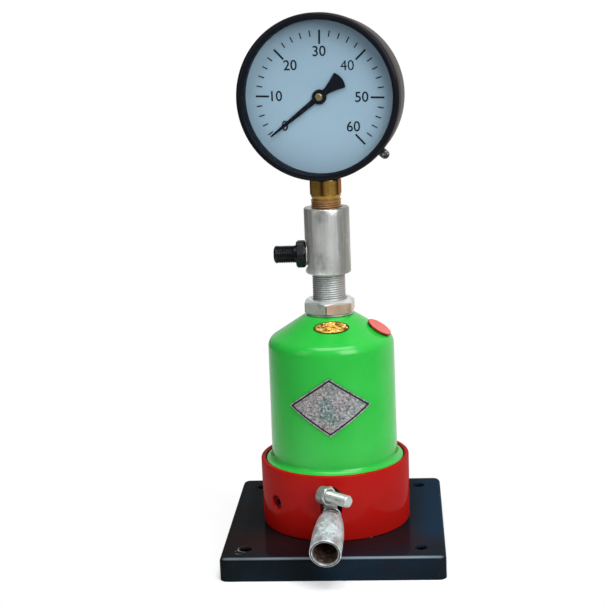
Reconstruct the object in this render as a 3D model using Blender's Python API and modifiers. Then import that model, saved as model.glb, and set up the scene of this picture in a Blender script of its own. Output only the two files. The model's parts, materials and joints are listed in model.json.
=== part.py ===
"""Bench-top hand pump that tests diesel injectors, with its pressure gauge.

Lengths are in metres.  Z is 0 on the bench, and the pump's axis is the Z axis of the
tester_frame empty.  The front is -Y and the gauge faces a little to the left of it.
"""

import math

import bmesh
import bpy
from mathutils import Matrix, Vector

# Clearances
SEAT_GAP = 0.0003
RUNNING_GAP = 0.0003
THREAD_GAP = 0.0003
HOLE_GAP = 0.0004
CUT_OVERRUN = 0.002
WELD_DISTANCE = 0.00002

# Roundness: segments in a full turn
LARGE_STEPS = 32
MEDIUM_STEPS = 24
SMALL_STEPS = 14
TINY_STEPS = 8
CORNER_STEPS = 3

# Base tray, a pressed sheet open below
TRAY_WIDTH = 0.145
TRAY_DEPTH = 0.155
TRAY_HEIGHT = 0.0153
TRAY_SHEET = 0.0018
TRAY_CORNER = 0.005
TRAY_EDGE = 0.0028
TRAY_HOLE_DIAMETER = 0.007
TRAY_HOLE_INSET_X = 0.0157
TRAY_HOLE_INSET_Y = 0.017

# Base ring
RING_RADIUS = 0.0502
RING_FOOT_RADIUS = 0.0498
RING_HEIGHT = 0.0444
RING_LIP_WALL = 0.0030
RING_LIP_DEPTH = 0.0100
RING_WALL = 0.0070
RING_EDGE = 0.0008
SMALL_EDGE = 0.0008
SLOT_WIDTH = 0.0140
SLOT_BOTTOM = 0.0300
SLOT_TOP = 0.0533
LEVER_X = -0.0009

# Ring set screws, which hold the ring on the pump body's skirt
RING_SCREW_AZIMUTHS = (-50.0, 90.0, 200.0)
RING_SCREW_HEIGHT = 0.0365
RING_SCREW_DIAMETER = 0.0082
RING_SCREW_LENGTH = 0.0090
RING_SCREW_RECESS = 0.0016
RING_SCREW_SOCKET = 0.0040
RING_SCREW_SOCKET_DEPTH = 0.0030

# Tray screws, which hold the tray up to the ring from below
TRAY_SCREW_AZIMUTHS = (30.0, 150.0, 270.0)
TRAY_SCREW_DIAMETER = 0.0050
TRAY_SCREW_FLATS = 0.0080
TRAY_SCREW_HEAD = 0.0035
TRAY_SCREW_REACH = 0.0120

# Pump body
BODY_FLANGE_THICKNESS = 0.0058
BODY_SKIRT_WALL = 0.0045
BODY_SKIRT_BOTTOM = 0.0280
BODY_COLUMN_RADIUS = 0.0170
BODY_FILLET = 0.0030
FULCRUM_BLOCK_HALF_WIDTH = 0.0160
FULCRUM_BLOCK_BACK = 0.0310
FULCRUM_BLOCK_BOTTOM = 0.0360
BODY_SLOT_WIDTH = 0.0128
BODY_SLOT_RELIEF = 0.0014
INLET_DIAMETER = 0.0060

# Tappet, plunger and their spring
TAPPET_RADIUS = 0.0110
TAPPET_LENGTH = 0.0160
TAPPET_FLOOR = 0.0060
TAPPET_WALL = 0.0018
PLUNGER_RADIUS = 0.0040
PLUNGER_FOOT_RADIUS = 0.0045
PLUNGER_FOOT_HEIGHT = 0.0020
PLUNGER_NECK_RADIUS = 0.0030
PLUNGER_NECK_HEIGHT = 0.0052
PLUNGER_LENGTH = 0.0667
SPRING_SEAT_THICKNESS = 0.0015
SPRING_CHAMBER_TOP = 0.0878
PLUNGER_SPRING_RADIUS = 0.0066
PLUNGER_SPRING_WIRE = 0.0022
PLUNGER_SPRING_TURNS = 5
SPRING_POINTS = 9

# Barrel
BARREL_RADIUS = 0.0080
BARREL_HEAD_RADIUS = 0.0110
BARREL_SHOULDER = 0.1120
BARREL_TOP = 0.1280
BARREL_INLET_HEIGHT = 0.1232
BARREL_INLET_DIAMETER = 0.0026
BARREL_SCREW_HEIGHT = 0.1180
BARREL_SCREW_DIAMETER = 0.0058
BARREL_SCREW_TIP_DIAMETER = 0.0040
BARREL_SCREW_FLATS = 0.0100
BARREL_SCREW_HEAD = 0.0040
BARREL_RECESS_DEPTH = 0.0020

# Delivery valve
VALVE_SEAT_RADIUS = 0.0104
VALVE_SEAT_FLANGE = 0.0047
VALVE_SEAT_NECK_RADIUS = 0.0072
VALVE_SEAT_HEIGHT = 0.0107
VALVE_STEM_RADIUS = 0.0030
VALVE_STEM_LENGTH = 0.0090
VALVE_HEAD_RADIUS = 0.0046
VALVE_HEAD_HEIGHT = 0.0028
VALVE_SPIGOT_RADIUS = 0.0020
VALVE_SPIGOT_HEIGHT = 0.0025
VALVE_SPRING_RADIUS = 0.0034
VALVE_SPRING_WIRE = 0.0009
VALVE_SPRING_TURNS = 4
DELIVERY_GASKET_THICKNESS = 0.0012

# Threaded holder, M22, which carries the connector on top
STUD_RADIUS = 0.0110
STUD_CHAMFER = 0.0010
STUD_PASSAGE_RADIUS = 0.0018
STUD_CHAMBER_RADIUS = 0.0079
STUD_CHAMBER_HEIGHT = 0.0152
LOCK_NUT_FLATS = 0.0300
LOCK_NUT_HEIGHT = 0.0082
LOCK_NUT_CORNER_TURN = -5.0
LOCK_WASHER_RADIUS = 0.0156
LOCK_WASHER_THICKNESS = 0.0011
STUD_SHOWN = 0.0180
STUD_ENGAGEMENT = 0.0066

# Tank cover, a bell of pressed sheet
TANK_SHEET = 0.0020
TANK_TOP = 0.1577
TANK_TOP_RADIUS = 0.0168
TANK_TOP_EDGE = 0.0022
TANK_CONE_SLOPE = 33.0
TANK_SHOULDER_RADIUS = 0.0080
TANK_WALL_DRAFT = 0.0004
TANK_WALL_INSET = 0.0040
TANK_FLARE_RADIUS = 0.0037
TANK_FLANGE_GAP = 0.0007
TANK_FLANGE_EDGE = 0.0007
TANK_GASKET_THICKNESS = 0.0008
TANK_GASKET_WIDTH = 0.0030

# Filler, on the cone
FILLER_AZIMUTH = 80.0
FILLER_INSET = 0.0095
FILLER_HOLE_DIAMETER = 0.0134
FILLER_CAP_DIAMETER = 0.0172
FILLER_CAP_THICKNESS = 0.0016
FILLER_CAP_EDGE = 0.0006
FILLER_PLUG_LENGTH = 0.0060
STRAINER_WALL = 0.0006
STRAINER_FLANGE_WIDTH = 0.0006
STRAINER_LENGTH = 0.0120

# Plates on the tank
NAMEPLATE_WIDTH = 0.0567
NAMEPLATE_HEIGHT = 0.0390
NAMEPLATE_CENTRE = 0.1043
NAMEPLATE_THICKNESS = 0.0004
OVAL_WIDTH = 0.0235
OVAL_HEIGHT = 0.0108
OVAL_AZIMUTH = 4.5
OVAL_PLACE_RADIUS = 0.0243
OVAL_THICKNESS = 0.0003

# Lever: rocker arm, roller, socket and the clamp stud
PIVOT_Y = -0.0375
PIVOT_Z = 0.0440
PIVOT_PIN_DIAMETER = 0.0080
PIVOT_BOSS_DIAMETER = 0.0150
LEVER_STROKE = 8.5
ARM_WIDTH = 0.0110
ARM_HEIGHT = 0.0090
ARM_NECK_DIAMETER = 0.0090
ARM_NECK_RISE = 0.0025
FORK_SLOT_WIDTH = 0.0066
FORK_HEIGHT = 0.0090
ROLLER_DIAMETER = 0.0140
ROLLER_WIDTH = 0.0060
ROLLER_PIN_DIAMETER = 0.0040
HEAD_RADIUS = 0.0057
HEAD_DEPTH = 0.0045
HEAD_RISE = 0.0070
LUG_WIDTH = 0.0084
LUG_BACK = 0.0519
LUG_FRONT = 0.0640
LUG_BOTTOM = 0.0330
SOCKET_DROOP = 13.0
SOCKET_AZIMUTH = -3.3
SOCKET_BACK_X = 0.0006
SOCKET_BACK_Y = 0.0585
SOCKET_BACK_Z = 0.0372
SOCKET_LENGTH = 0.0435
SOCKET_BACK_RADIUS = 0.0058
SOCKET_CONE_LENGTH = 0.0075
SOCKET_NECK_RADIUS = 0.0094
SOCKET_RADIUS = 0.0101
SOCKET_BORE_RADIUS = 0.0074
SOCKET_BORE_DEPTH = 0.0330
SOCKET_RIM = 0.0007
SOCKET_SPIGOT_RADIUS = 0.0025
SOCKET_SPIGOT_LENGTH = 0.0050
CLAMP_AZIMUTH = 50.0
CLAMP_FACE_X = -0.0024
CLAMP_FACE_Y = -0.0605
CLAMP_STUD_DIAMETER = 0.0080
CLAMP_STUD_SHOWN = 0.0167
CLAMP_STUD_DEPTH = 0.0032
CLAMP_STUD_EDGE = 0.0005
CLAMP_NUT_FLATS = 0.0116
CLAMP_NUT_HEIGHT = 0.0026

# Connector body, outlet and seals
CONNECTOR_RADIUS = 0.0150
CONNECTOR_HEIGHT = 0.0437
CONNECTOR_EDGE = 0.0008
CONNECTOR_PASSAGE_RADIUS = 0.0025
GAUGE_THREAD_RADIUS = 0.0100
GAUGE_THREAD_DEPTH = 0.0172
GAUGE_THREAD_EDGE = 0.0010
GAUGE_SEAL_THICKNESS = 0.0015
OUTLET_RISE = 0.0127
OUTLET_SPOT_RADIUS = 0.0106
OUTLET_SPOT_DEPTH = 0.0021
OUTLET_WASHER_RADIUS = 0.0076
OUTLET_WASHER_THICKNESS = 0.0011
OUTLET_HEX_FLATS = 0.0170
OUTLET_HEX_LENGTH = 0.0063
OUTLET_THREAD_RADIUS = 0.0059
OUTLET_THREAD_LENGTH = 0.0150
OUTLET_SPIGOT_RADIUS = 0.0050
OUTLET_SPIGOT_LENGTH = 0.0050
OUTLET_PASSAGE_RADIUS = 0.0015
OUTLET_END_EDGE = 0.0012

# Gauge stem, brass
STEM_COLLAR_RADIUS = 0.0092
STEM_COLLAR_LENGTH = 0.0040
STEM_HEX_FLATS = 0.0190
STEM_HEX_LENGTH = 0.0111
STEM_THREAD_SHOWN = 0.0034
STEM_NECK_SHOWN = 0.0022
STEM_NECK_RADIUS = 0.0076
STEM_BORE_RADIUS = 0.0020
BLOCK_WIDTH = 0.0220
BLOCK_FRONT = 0.0070
BLOCK_BACK = 0.0135
BLOCK_HEIGHT = 0.0180
BLOCK_STEP = 0.0047

# Gauge case, bezel, glass and dial
GAUGE_AZIMUTH = -9.5
CASE_RADIUS = 0.0515
CASE_SHEET = 0.0010
CASE_BACK = -0.0170
CASE_FRONT = 0.0118
CASE_CORNER = 0.0030
BEZEL_WALL = 0.0015
BEZEL_BACK = 0.0080
BEZEL_FRONT = 0.0186
BEZEL_ROUNDING = 0.0022
BEZEL_FACE_INSET = 0.0022
BEZEL_SIGHT_INSET = 0.0035
GLASS_THICKNESS = 0.0028
DIAL_INSET = 0.0021
DIAL_TURN = -1.8
DIAL_THICKNESS = 0.0008
DIAL_FRONT = 0.0087
DIAL_HOLE_RADIUS = 0.0028
BLOWOUT_RADIUS = 0.0050
BLOWOUT_RISE = 0.0240
BLOWOUT_HEAD_RADIUS = 0.0068
BLOWOUT_HEAD_THICKNESS = 0.0012
CASE_SCREW_SPACING = 0.0130
CASE_SCREW_INSET = 0.0105
CASE_SCREW_DIAMETER = 0.0040
CASE_SCREW_HEAD_DIAMETER = 0.0070
CASE_SCREW_HEAD = 0.0024
CASE_SCREW_LENGTH = 0.0080
SEAL_ANGLE = -42.5
SEAL_LUG_WIDTH = 0.0060
SEAL_LUG_REACH = 0.0069
SEAL_LUG_THICKNESS = 0.0012
SEAL_LUG_FRONT = 0.0067
SEAL_SCREW_DIAMETER = 0.0028
SEAL_SCREW_HEAD_DIAMETER = 0.0048
SEAL_SCREW_HEAD = 0.0020
SEAL_SCREW_LENGTH = 0.0050

# Bourdon tube and movement
TUBE_INSET = 0.0155
TUBE_THICKNESS = 0.0030
TUBE_BACK = -0.0070
TUBE_FRONT = 0.0050
TUBE_END_ANGLE = -17.0
TUBE_ARC_STEPS = 30
TUBE_EDGE = 0.0009
TIP_SPAN = 4.0
TIP_THICKNESS = 0.0046
TIP_TAB_FRONT = 0.0046
TIP_TAB_THICKNESS = 0.0008
TIP_TAB_WIDTH = 0.0030
BACK_PLATE_BACK = -0.0020
PLATE_THICKNESS = 0.0012
FRONT_PLATE_BACK = 0.0046
PLATE_HALF_WIDTH = 0.0150
PLATE_TOP = 0.0110
PLATE_SHOULDER_INSET = 0.0205
PLATE_FOOT_INSET = 0.0105
PLATE_NECK_HALF_WIDTH = 0.0105
PLATE_NECK_DROP = 0.0015
PLATE_CORNER = 0.0020
PILLAR_RADIUS = 0.0013
DIAL_POST_RADIUS = 0.0014
DIAL_POST_SPREAD = 0.0120
DIAL_POST_HEIGHT = -0.0080
GEAR_MODULE = 0.0005
PINION_TEETH = 14
SECTOR_TEETH_FULL_TURN = 84
SECTOR_TEETH = 14
TOOTH_THICKNESS_SHARE = 0.34
TOOTH_TIP_SHARE = 0.45
TOOTH_ADDENDUM_SHARE = 0.85
TOOTH_DEDENDUM_SHARE = 1.25
SECTOR_BACK = 0.0010
GEAR_THICKNESS = 0.0012
PINION_BACK = 0.0005
PINION_LENGTH = 0.0026
ARBOR_RADIUS = 0.0008
ARBOR_GAP = 0.0003
SECTOR_HUB_RADIUS = 0.0026
TAIL_LENGTH = 0.0103
TAIL_REST_ANGLE = -14.0
TAIL_WIDTH = 0.0030
LINK_THICKNESS = 0.0008
LINK_WIDTH = 0.0032
LINK_FAR_REACH = 0.0080
LINK_FAR_Y = -0.0185
HAIRSPRING_START_RADIUS = 0.0017
HAIRSPRING_END_RADIUS = 0.0058
HAIRSPRING_TURNS = 4
HAIRSPRING_WIRE = 0.0004
HAIRSPRING_HEIGHT = 0.0039

# Pointer
POINTER_TURN = 270.0
POINTER_REST = 6.2
POINTER_TIP_INSET = 0.0099
POINTER_TAIL = 0.0190
POINTER_TAIL_WIDTH = 0.0112
POINTER_ROOT_WIDTH = 0.0034
POINTER_TIP_WIDTH = 0.0007
POINTER_HUB_RADIUS = 0.0042
POINTER_THICKNESS = 0.0006
POINTER_BACK = 0.0095
POINTER_CAP_RADIUS = 0.0024
POINTER_CAP_HEIGHT = 0.0013

# Levels worked out from the sizes above, from the bench upwards
RING_FOOT = TRAY_HEIGHT + SEAT_GAP
RING_TOP = RING_FOOT + RING_HEIGHT
RING_LEDGE = RING_TOP - RING_LIP_DEPTH
RING_LIP_RADIUS = RING_RADIUS - RING_LIP_WALL
RING_BORE_RADIUS = RING_RADIUS - RING_WALL
TANK_FLANGE_RADIUS = RING_LIP_RADIUS - TANK_FLANGE_GAP
TANK_WALL_FOOT_RADIUS = TANK_FLANGE_RADIUS - TANK_WALL_INSET
TANK_WALL_TOP_RADIUS = TANK_WALL_FOOT_RADIUS - TANK_WALL_DRAFT
FILLER_PLACE_RADIUS = TANK_WALL_TOP_RADIUS - FILLER_INSET
BODY_FLANGE_BOTTOM = RING_LEDGE + SEAT_GAP
BODY_FLANGE_TOP = BODY_FLANGE_BOTTOM + BODY_FLANGE_THICKNESS
BODY_SKIRT_RADIUS = RING_BORE_RADIUS - SEAT_GAP
BODY_TOP = (TANK_TOP - (BODY_COLUMN_RADIUS - TANK_TOP_RADIUS) * math.tan(math.radians(TANK_CONE_SLOPE))
            - TANK_SHEET / math.cos(math.radians(TANK_CONE_SLOPE)) - SEAT_GAP)
GASKET_BOTTOM = BODY_FLANGE_TOP + SEAT_GAP
TANK_BOTTOM = GASKET_BOTTOM + TANK_GASKET_THICKNESS + SEAT_GAP
TANK_FLANGE_TOP = TANK_BOTTOM + TANK_SHEET
BARREL_BORE_RADIUS = BARREL_RADIUS + SEAT_GAP
HEAD_BORE_RADIUS = BARREL_HEAD_RADIUS + SEAT_GAP
ROLLER_RADIUS = ROLLER_DIAMETER / 2
ROLLER_Z = PIVOT_Z + PIVOT_Y * math.sin(math.radians(LEVER_STROKE / 2))
TAPPET_BOTTOM = ROLLER_Z + ROLLER_RADIUS + SEAT_GAP
PLUNGER_BOTTOM = TAPPET_BOTTOM + TAPPET_FLOOR + SEAT_GAP
LOWER_SEAT_BOTTOM = PLUNGER_BOTTOM + PLUNGER_FOOT_HEIGHT + SEAT_GAP
PLUNGER_SPRING_BOTTOM = LOWER_SEAT_BOTTOM + SPRING_SEAT_THICKNESS + SEAT_GAP
PLUNGER_SPRING_TOP = SPRING_CHAMBER_TOP - SEAT_GAP
VALVE_SEAT_BOTTOM = BARREL_TOP + SEAT_GAP
VALVE_SEAT_TOP = VALVE_SEAT_BOTTOM + VALVE_SEAT_HEIGHT
DELIVERY_GASKET_BOTTOM = VALVE_SEAT_BOTTOM + VALVE_SEAT_FLANGE + SEAT_GAP
STUD_BOTTOM = DELIVERY_GASKET_BOTTOM + DELIVERY_GASKET_THICKNESS + SEAT_GAP
LOCK_WASHER_BOTTOM = TANK_TOP + SEAT_GAP
LOCK_NUT_BOTTOM = LOCK_WASHER_BOTTOM + LOCK_WASHER_THICKNESS + SEAT_GAP
CONNECTOR_BOTTOM = LOCK_NUT_BOTTOM + LOCK_NUT_HEIGHT + STUD_SHOWN
STUD_TOP = CONNECTOR_BOTTOM + STUD_ENGAGEMENT
CONNECTOR_TOP = CONNECTOR_BOTTOM + CONNECTOR_HEIGHT
OUTLET_HEIGHT = CONNECTOR_BOTTOM + OUTLET_RISE
STEM_COLLAR_BOTTOM = CONNECTOR_TOP + STEM_THREAD_SHOWN
STEM_HEX_BOTTOM = STEM_COLLAR_BOTTOM + STEM_COLLAR_LENGTH
STEM_HEX_TOP = STEM_HEX_BOTTOM + STEM_HEX_LENGTH
GAUGE_HEIGHT = STEM_HEX_TOP + STEM_NECK_SHOWN + CASE_RADIUS
BEZEL_RADIUS = CASE_RADIUS + BEZEL_WALL
BEZEL_FACE_RADIUS = CASE_RADIUS - BEZEL_FACE_INSET
BEZEL_SIGHT_RADIUS = CASE_RADIUS - BEZEL_SIGHT_INSET
DIAL_RADIUS = CASE_RADIUS - DIAL_INSET
POINTER_LENGTH = CASE_RADIUS - POINTER_TIP_INSET
CASE_SCREW_DROP = CASE_RADIUS - CASE_SCREW_INSET
PLATE_SHOULDER = PLATE_SHOULDER_INSET - CASE_RADIUS
PLATE_BOTTOM = PLATE_FOOT_INSET - CASE_RADIUS
TUBE_RADIUS = CASE_RADIUS - TUBE_INSET
LINK_FAR_X = TUBE_RADIUS - LINK_FAR_REACH
GAUGE_SEAL_BOTTOM = CONNECTOR_TOP - GAUGE_THREAD_DEPTH + SEAT_GAP
STEM_BOTTOM = GAUGE_SEAL_BOTTOM + GAUGE_SEAL_THICKNESS + SEAT_GAP
ROOT_CUTTERS = "injector_tester_cutters"
ROOT_PARTS = "injector_tester"


def arc(centre_x, centre_y, radius, start, end, steps):
    """Points of an arc, in degrees anticlockwise from +X."""
    points = []
    for index in range(steps + 1):
        angle = math.radians(start + (end - start) * index / steps)
        points.append((centre_x + radius * math.cos(angle), centre_y + radius * math.sin(angle)))
    return points


def clear_scene():
    for item in list(bpy.data.objects):
        bpy.data.objects.remove(item, do_unlink=True)


def make_collection(name):
    group = bpy.data.collections.new(name)
    bpy.context.scene.collection.children.link(group)
    return group


def make_material(name, colour, roughness, metallic, alpha=1.0):
    material = bpy.data.materials.new(name)
    material.use_nodes = True
    shader = material.node_tree.nodes["Principled BSDF"]
    shader.inputs["Base Color"].default_value = (*colour, 1.0)
    shader.inputs["Roughness"].default_value = roughness
    shader.inputs["Metallic"].default_value = metallic
    shader.inputs["Alpha"].default_value = alpha
    material.diffuse_color = (*colour, alpha)
    return material


def make_empty(name, parent, location, rotation=(0.0, 0.0, 0.0)):
    empty = bpy.data.objects.new(name, None)
    bpy.context.scene.collection.objects.link(empty)
    empty.parent = parent
    empty.location = location
    empty.rotation_euler = rotation
    return empty


class Builder:
    """Makes objects under one parent and puts them in the right collection."""

    def __init__(self, parts, cutters, parent):
        self.parts = parts
        self.cutters = cutters
        self.parent = parent

    def under(self, parent):
        return Builder(self.parts, self.cutters, parent)

    def place(self, name, mesh, material, location, rotation):
        item = bpy.data.objects.new(name, mesh)
        item.parent = self.parent
        item.location = location
        item.rotation_euler = rotation
        if material is None:
            self.cutters.objects.link(item)
            item.hide_render = True
            item.display_type = "WIRE"
        else:
            mesh.materials.append(material)
            self.parts.objects.link(item)
        return item

    def turned(self, name, profile, material=None, steps=MEDIUM_STEPS, closed=False,
               location=(0.0, 0.0, 0.0), rotation=(0.0, 0.0, 0.0)):
        """A profile of (radius, height) points, turned about local Z, outer side downwards."""
        mesh = bpy.data.meshes.new(name)
        shape = bmesh.new()
        corners = [shape.verts.new((radius, 0.0, height)) for radius, height in profile]
        pairs = list(zip(corners, corners[1:]))
        if closed:
            pairs.append((corners[-1], corners[0]))
        for first, second in pairs:
            shape.edges.new((first, second))
        shape.to_mesh(mesh)
        shape.free()
        item = self.place(name, mesh, material, location, rotation)
        screw = item.modifiers.new("turn", "SCREW")
        screw.axis = "Z"
        screw.steps = steps
        screw.render_steps = steps
        screw.use_merge_vertices = True
        screw.merge_threshold = WELD_DISTANCE
        return item

    def box(self, name, low, high, material=None, location=(0.0, 0.0, 0.0), rotation=(0.0, 0.0, 0.0)):
        mesh = bpy.data.meshes.new(name)
        shape = bmesh.new()
        low_corner = Vector(low)
        high_corner = Vector(high)
        size = high_corner - low_corner
        matrix = Matrix.Translation((low_corner + high_corner) / 2) @ Matrix.Diagonal((*size, 1.0))
        bmesh.ops.create_cube(shape, size=1.0, matrix=matrix)
        shape.to_mesh(mesh)
        shape.free()
        return self.place(name, mesh, material, location, rotation)

    def cylinder(self, name, radius, start, end, material=None, steps=SMALL_STEPS,
                 location=(0.0, 0.0, 0.0), rotation=(0.0, 0.0, 0.0)):
        """A round bar along local Z between two heights."""
        mesh = bpy.data.meshes.new(name)
        shape = bmesh.new()
        bmesh.ops.create_cone(shape, cap_ends=True, segments=steps, radius1=radius, radius2=radius,
                              depth=end - start, matrix=Matrix.Translation((0, 0, (start + end) / 2)))
        shape.to_mesh(mesh)
        shape.free()
        return self.place(name, mesh, material, location, rotation)

    def plate(self, name, outlines, back, front, material=None,
              location=(0.0, 0.0, 0.0), rotation=(0.0, 0.0, 0.0)):
        """A flat outline, with holes if it has more outlines, between two local heights."""
        curve = bpy.data.curves.new(name, "CURVE")
        curve.dimensions = "2D"
        curve.fill_mode = "BOTH"
        curve.extrude = (front - back) / 2
        for outline in outlines:
            spline = curve.splines.new("POLY")
            spline.points.add(len(outline) - 1)
            for point, (x, y) in zip(spline.points, outline):
                point.co = (x, y, 0.0, 1.0)
            spline.use_cyclic_u = True
        mesh = curve_mesh(curve, name)
        mesh.transform(Matrix.Translation((0.0, 0.0, (back + front) / 2)))
        return self.place(name, mesh, material, location, rotation)

    def wire(self, name, points, thickness, material, resolution=2):
        curve = bpy.data.curves.new(name, "CURVE")
        curve.dimensions = "3D"
        curve.bevel_depth = thickness / 2
        curve.bevel_resolution = resolution
        curve.use_fill_caps = True
        spline = curve.splines.new("POLY")
        spline.points.add(len(points) - 1)
        for point, place in zip(spline.points, points):
            point.co = (*place, 1.0)
        return self.place(name, curve_mesh(curve, name), material, (0.0, 0.0, 0.0), (0.0, 0.0, 0.0))


def curve_mesh(curve, name):
    """The closed mesh of a curve, with its caps welded on."""
    guide = bpy.data.objects.new(name + "_guide", curve)
    bpy.context.scene.collection.objects.link(guide)
    depsgraph = bpy.context.evaluated_depsgraph_get()
    mesh = bpy.data.meshes.new_from_object(guide.evaluated_get(depsgraph))
    bpy.data.objects.remove(guide, do_unlink=True)
    bpy.data.curves.remove(curve)
    mesh.name = name
    shape = bmesh.new()
    shape.from_mesh(mesh)
    bmesh.ops.remove_doubles(shape, verts=shape.verts, dist=WELD_DISTANCE)
    bmesh.ops.recalc_face_normals(shape, faces=shape.faces)
    shape.to_mesh(mesh)
    shape.free()
    mesh.materials.clear()
    return mesh


def combine(target, tool, operation):
    modifier = target.modifiers.new(tool.name, "BOOLEAN")
    modifier.object = tool
    modifier.operation = operation
    modifier.solver = "EXACT"


def cut(target, *tools):
    for tool in tools:
        combine(target, tool, "DIFFERENCE")


def join(target, *tools):
    for tool in tools:
        combine(target, tool, "UNION")


def keep(target, tool):
    combine(target, tool, "INTERSECT")


def solidify(target, thickness):
    modifier = target.modifiers.new("sheet", "SOLIDIFY")
    modifier.thickness = thickness
    modifier.offset = -1.0
    modifier.use_even_offset = True


def hexagon(across_flats, turn=0.0):
    """Corners of a hexagon; turn is the angle of its first corner, in degrees from +X."""
    corner = across_flats / math.sqrt(3.0)
    return arc(0.0, 0.0, corner, turn, turn + 300.0, 5)


def hex_corner_radius(across_flats):
    return across_flats / math.sqrt(3.0)


def along(azimuth, distance, height):
    """A point at an azimuth in degrees from the front, towards +X."""
    angle = math.radians(azimuth)
    return (distance * math.sin(angle), -distance * math.cos(angle), height)


def radial(azimuth):
    """The rotation that turns local Z outwards at an azimuth, with local Y up."""
    return (math.radians(90.0), 0.0, math.radians(azimuth))


# Base


def base_tray(make, paint):
    half_width = TRAY_WIDTH / 2
    half_depth = TRAY_DEPTH / 2
    tray = make.box("base_tray", (-half_width, -half_depth, 0.0), (half_width, half_depth, TRAY_HEIGHT),
                    paint)
    shape = bmesh.new()
    shape.from_mesh(tray.data)
    upright = [edge for edge in shape.edges if abs(edge.verts[0].co.z - edge.verts[1].co.z) > TRAY_HEIGHT / 2]
    bmesh.ops.bevel(shape, geom=upright, offset=TRAY_CORNER, segments=CORNER_STEPS, affect="EDGES",
                    profile=0.5)
    top = [face for face in shape.faces if face.normal.z > 0.5]
    rim = [edge for edge in top[0].edges]
    bmesh.ops.bevel(shape, geom=rim, offset=TRAY_EDGE, segments=CORNER_STEPS, affect="EDGES", profile=0.5)
    bottom = [face for face in shape.faces if face.normal.z < -0.5]
    bmesh.ops.delete(shape, geom=bottom, context="FACES")
    shape.to_mesh(tray.data)
    shape.free()
    solidify(tray, TRAY_SHEET)
    hole_x = half_width - TRAY_HOLE_INSET_X
    hole_y = half_depth - TRAY_HOLE_INSET_Y
    below = TRAY_HEIGHT - TRAY_SHEET - CUT_OVERRUN
    above = TRAY_HEIGHT + CUT_OVERRUN
    for side_x in (-1, 1):
        for side_y in (-1, 1):
            cut(tray, make.cylinder("tray_hole_cutter", TRAY_HOLE_DIAMETER / 2, below, above,
                                    location=(side_x * hole_x, side_y * hole_y, 0.0)))
    for azimuth in TRAY_SCREW_AZIMUTHS:
        cut(tray, make.cylinder("tray_screw_hole_cutter", TRAY_SCREW_DIAMETER / 2 + HOLE_GAP, below, above,
                                steps=TINY_STEPS, location=along(azimuth, ring_wall_middle(), 0.0)))


def ring_wall_middle():
    return (RING_BORE_RADIUS + RING_FOOT_RADIUS) / 2


def base_ring(make, paint):
    profile = [
        (RING_RADIUS - RING_EDGE, RING_TOP),
        (RING_RADIUS, RING_TOP - RING_EDGE),
        (RING_FOOT_RADIUS, RING_FOOT + RING_EDGE),
        (RING_FOOT_RADIUS - RING_EDGE, RING_FOOT),
        (RING_BORE_RADIUS, RING_FOOT),
        (RING_BORE_RADIUS, RING_LEDGE),
        (RING_LIP_RADIUS, RING_LEDGE),
        (RING_LIP_RADIUS, RING_TOP),
    ]
    ring = make.turned("base_ring", profile, paint, LARGE_STEPS, closed=True)
    cut(ring, make.plate("ring_slot_cutter", [slot_outline(SLOT_WIDTH)], 0.0, RING_RADIUS + CUT_OVERRUN,
                         location=(LEVER_X, 0.0, 0.0), rotation=radial(0.0)))
    for azimuth in RING_SCREW_AZIMUTHS:
        cut(ring, make.cylinder("ring_screw_hole_cutter", RING_SCREW_DIAMETER / 2 + THREAD_GAP,
                                RING_BORE_RADIUS - CUT_OVERRUN, RING_RADIUS + CUT_OVERRUN,
                                location=(0.0, 0.0, RING_SCREW_HEIGHT), rotation=radial(azimuth)))
    for azimuth in TRAY_SCREW_AZIMUTHS:
        cut(ring, make.cylinder("ring_tapping_cutter", TRAY_SCREW_DIAMETER / 2 + THREAD_GAP,
                                RING_FOOT - CUT_OVERRUN, RING_FOOT + TRAY_SCREW_REACH, steps=TINY_STEPS,
                                location=along(azimuth, ring_wall_middle(), 0.0)))


def slot_outline(width):
    """An upright slot with round ends."""
    radius = width / 2
    top = arc(0.0, SLOT_TOP - radius, radius, 0.0, 180.0, 2 * CORNER_STEPS)
    bottom = arc(0.0, SLOT_BOTTOM + radius, radius, 180.0, 360.0, 2 * CORNER_STEPS)
    return top + bottom


def ring_screws(make, paint):
    outer = RING_FOOT_RADIUS - RING_SCREW_RECESS
    inner = outer - RING_SCREW_LENGTH
    radius = RING_SCREW_DIAMETER / 2
    for number, azimuth in enumerate(RING_SCREW_AZIMUTHS, start=1):
        place = {"location": (0.0, 0.0, RING_SCREW_HEIGHT), "rotation": radial(azimuth)}
        profile = [
            (0.0, outer), (radius - SMALL_EDGE, outer), (radius, outer - SMALL_EDGE),
            (radius, inner + SMALL_EDGE), (radius - SMALL_EDGE, inner), (0.0, inner),
        ]
        screw = make.turned(f"ring_screw_{number}", profile, paint, SMALL_STEPS, **place)
        cut(screw, make.plate("screw_socket_cutter", [hexagon(RING_SCREW_SOCKET)],
                              outer - RING_SCREW_SOCKET_DEPTH, outer + CUT_OVERRUN, **place))


def tray_screws(make, steel):
    head_top = TRAY_HEIGHT - TRAY_SHEET - SEAT_GAP
    head_bottom = head_top - TRAY_SCREW_HEAD
    tip = RING_FOOT + TRAY_SCREW_REACH - SEAT_GAP
    shank = TRAY_SCREW_DIAMETER / 2
    for number, azimuth in enumerate(TRAY_SCREW_AZIMUTHS, start=1):
        place = {"location": along(azimuth, ring_wall_middle(), 0.0)}
        screw = make.cylinder(f"tray_screw_{number}", shank, head_bottom + TRAY_SCREW_HEAD / 2, tip, steel,
                              steps=TINY_STEPS, **place)
        join(screw, make.plate("screw_head_tool", [hexagon(TRAY_SCREW_FLATS)], head_bottom, head_top,
                               **place))


# Pump


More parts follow.
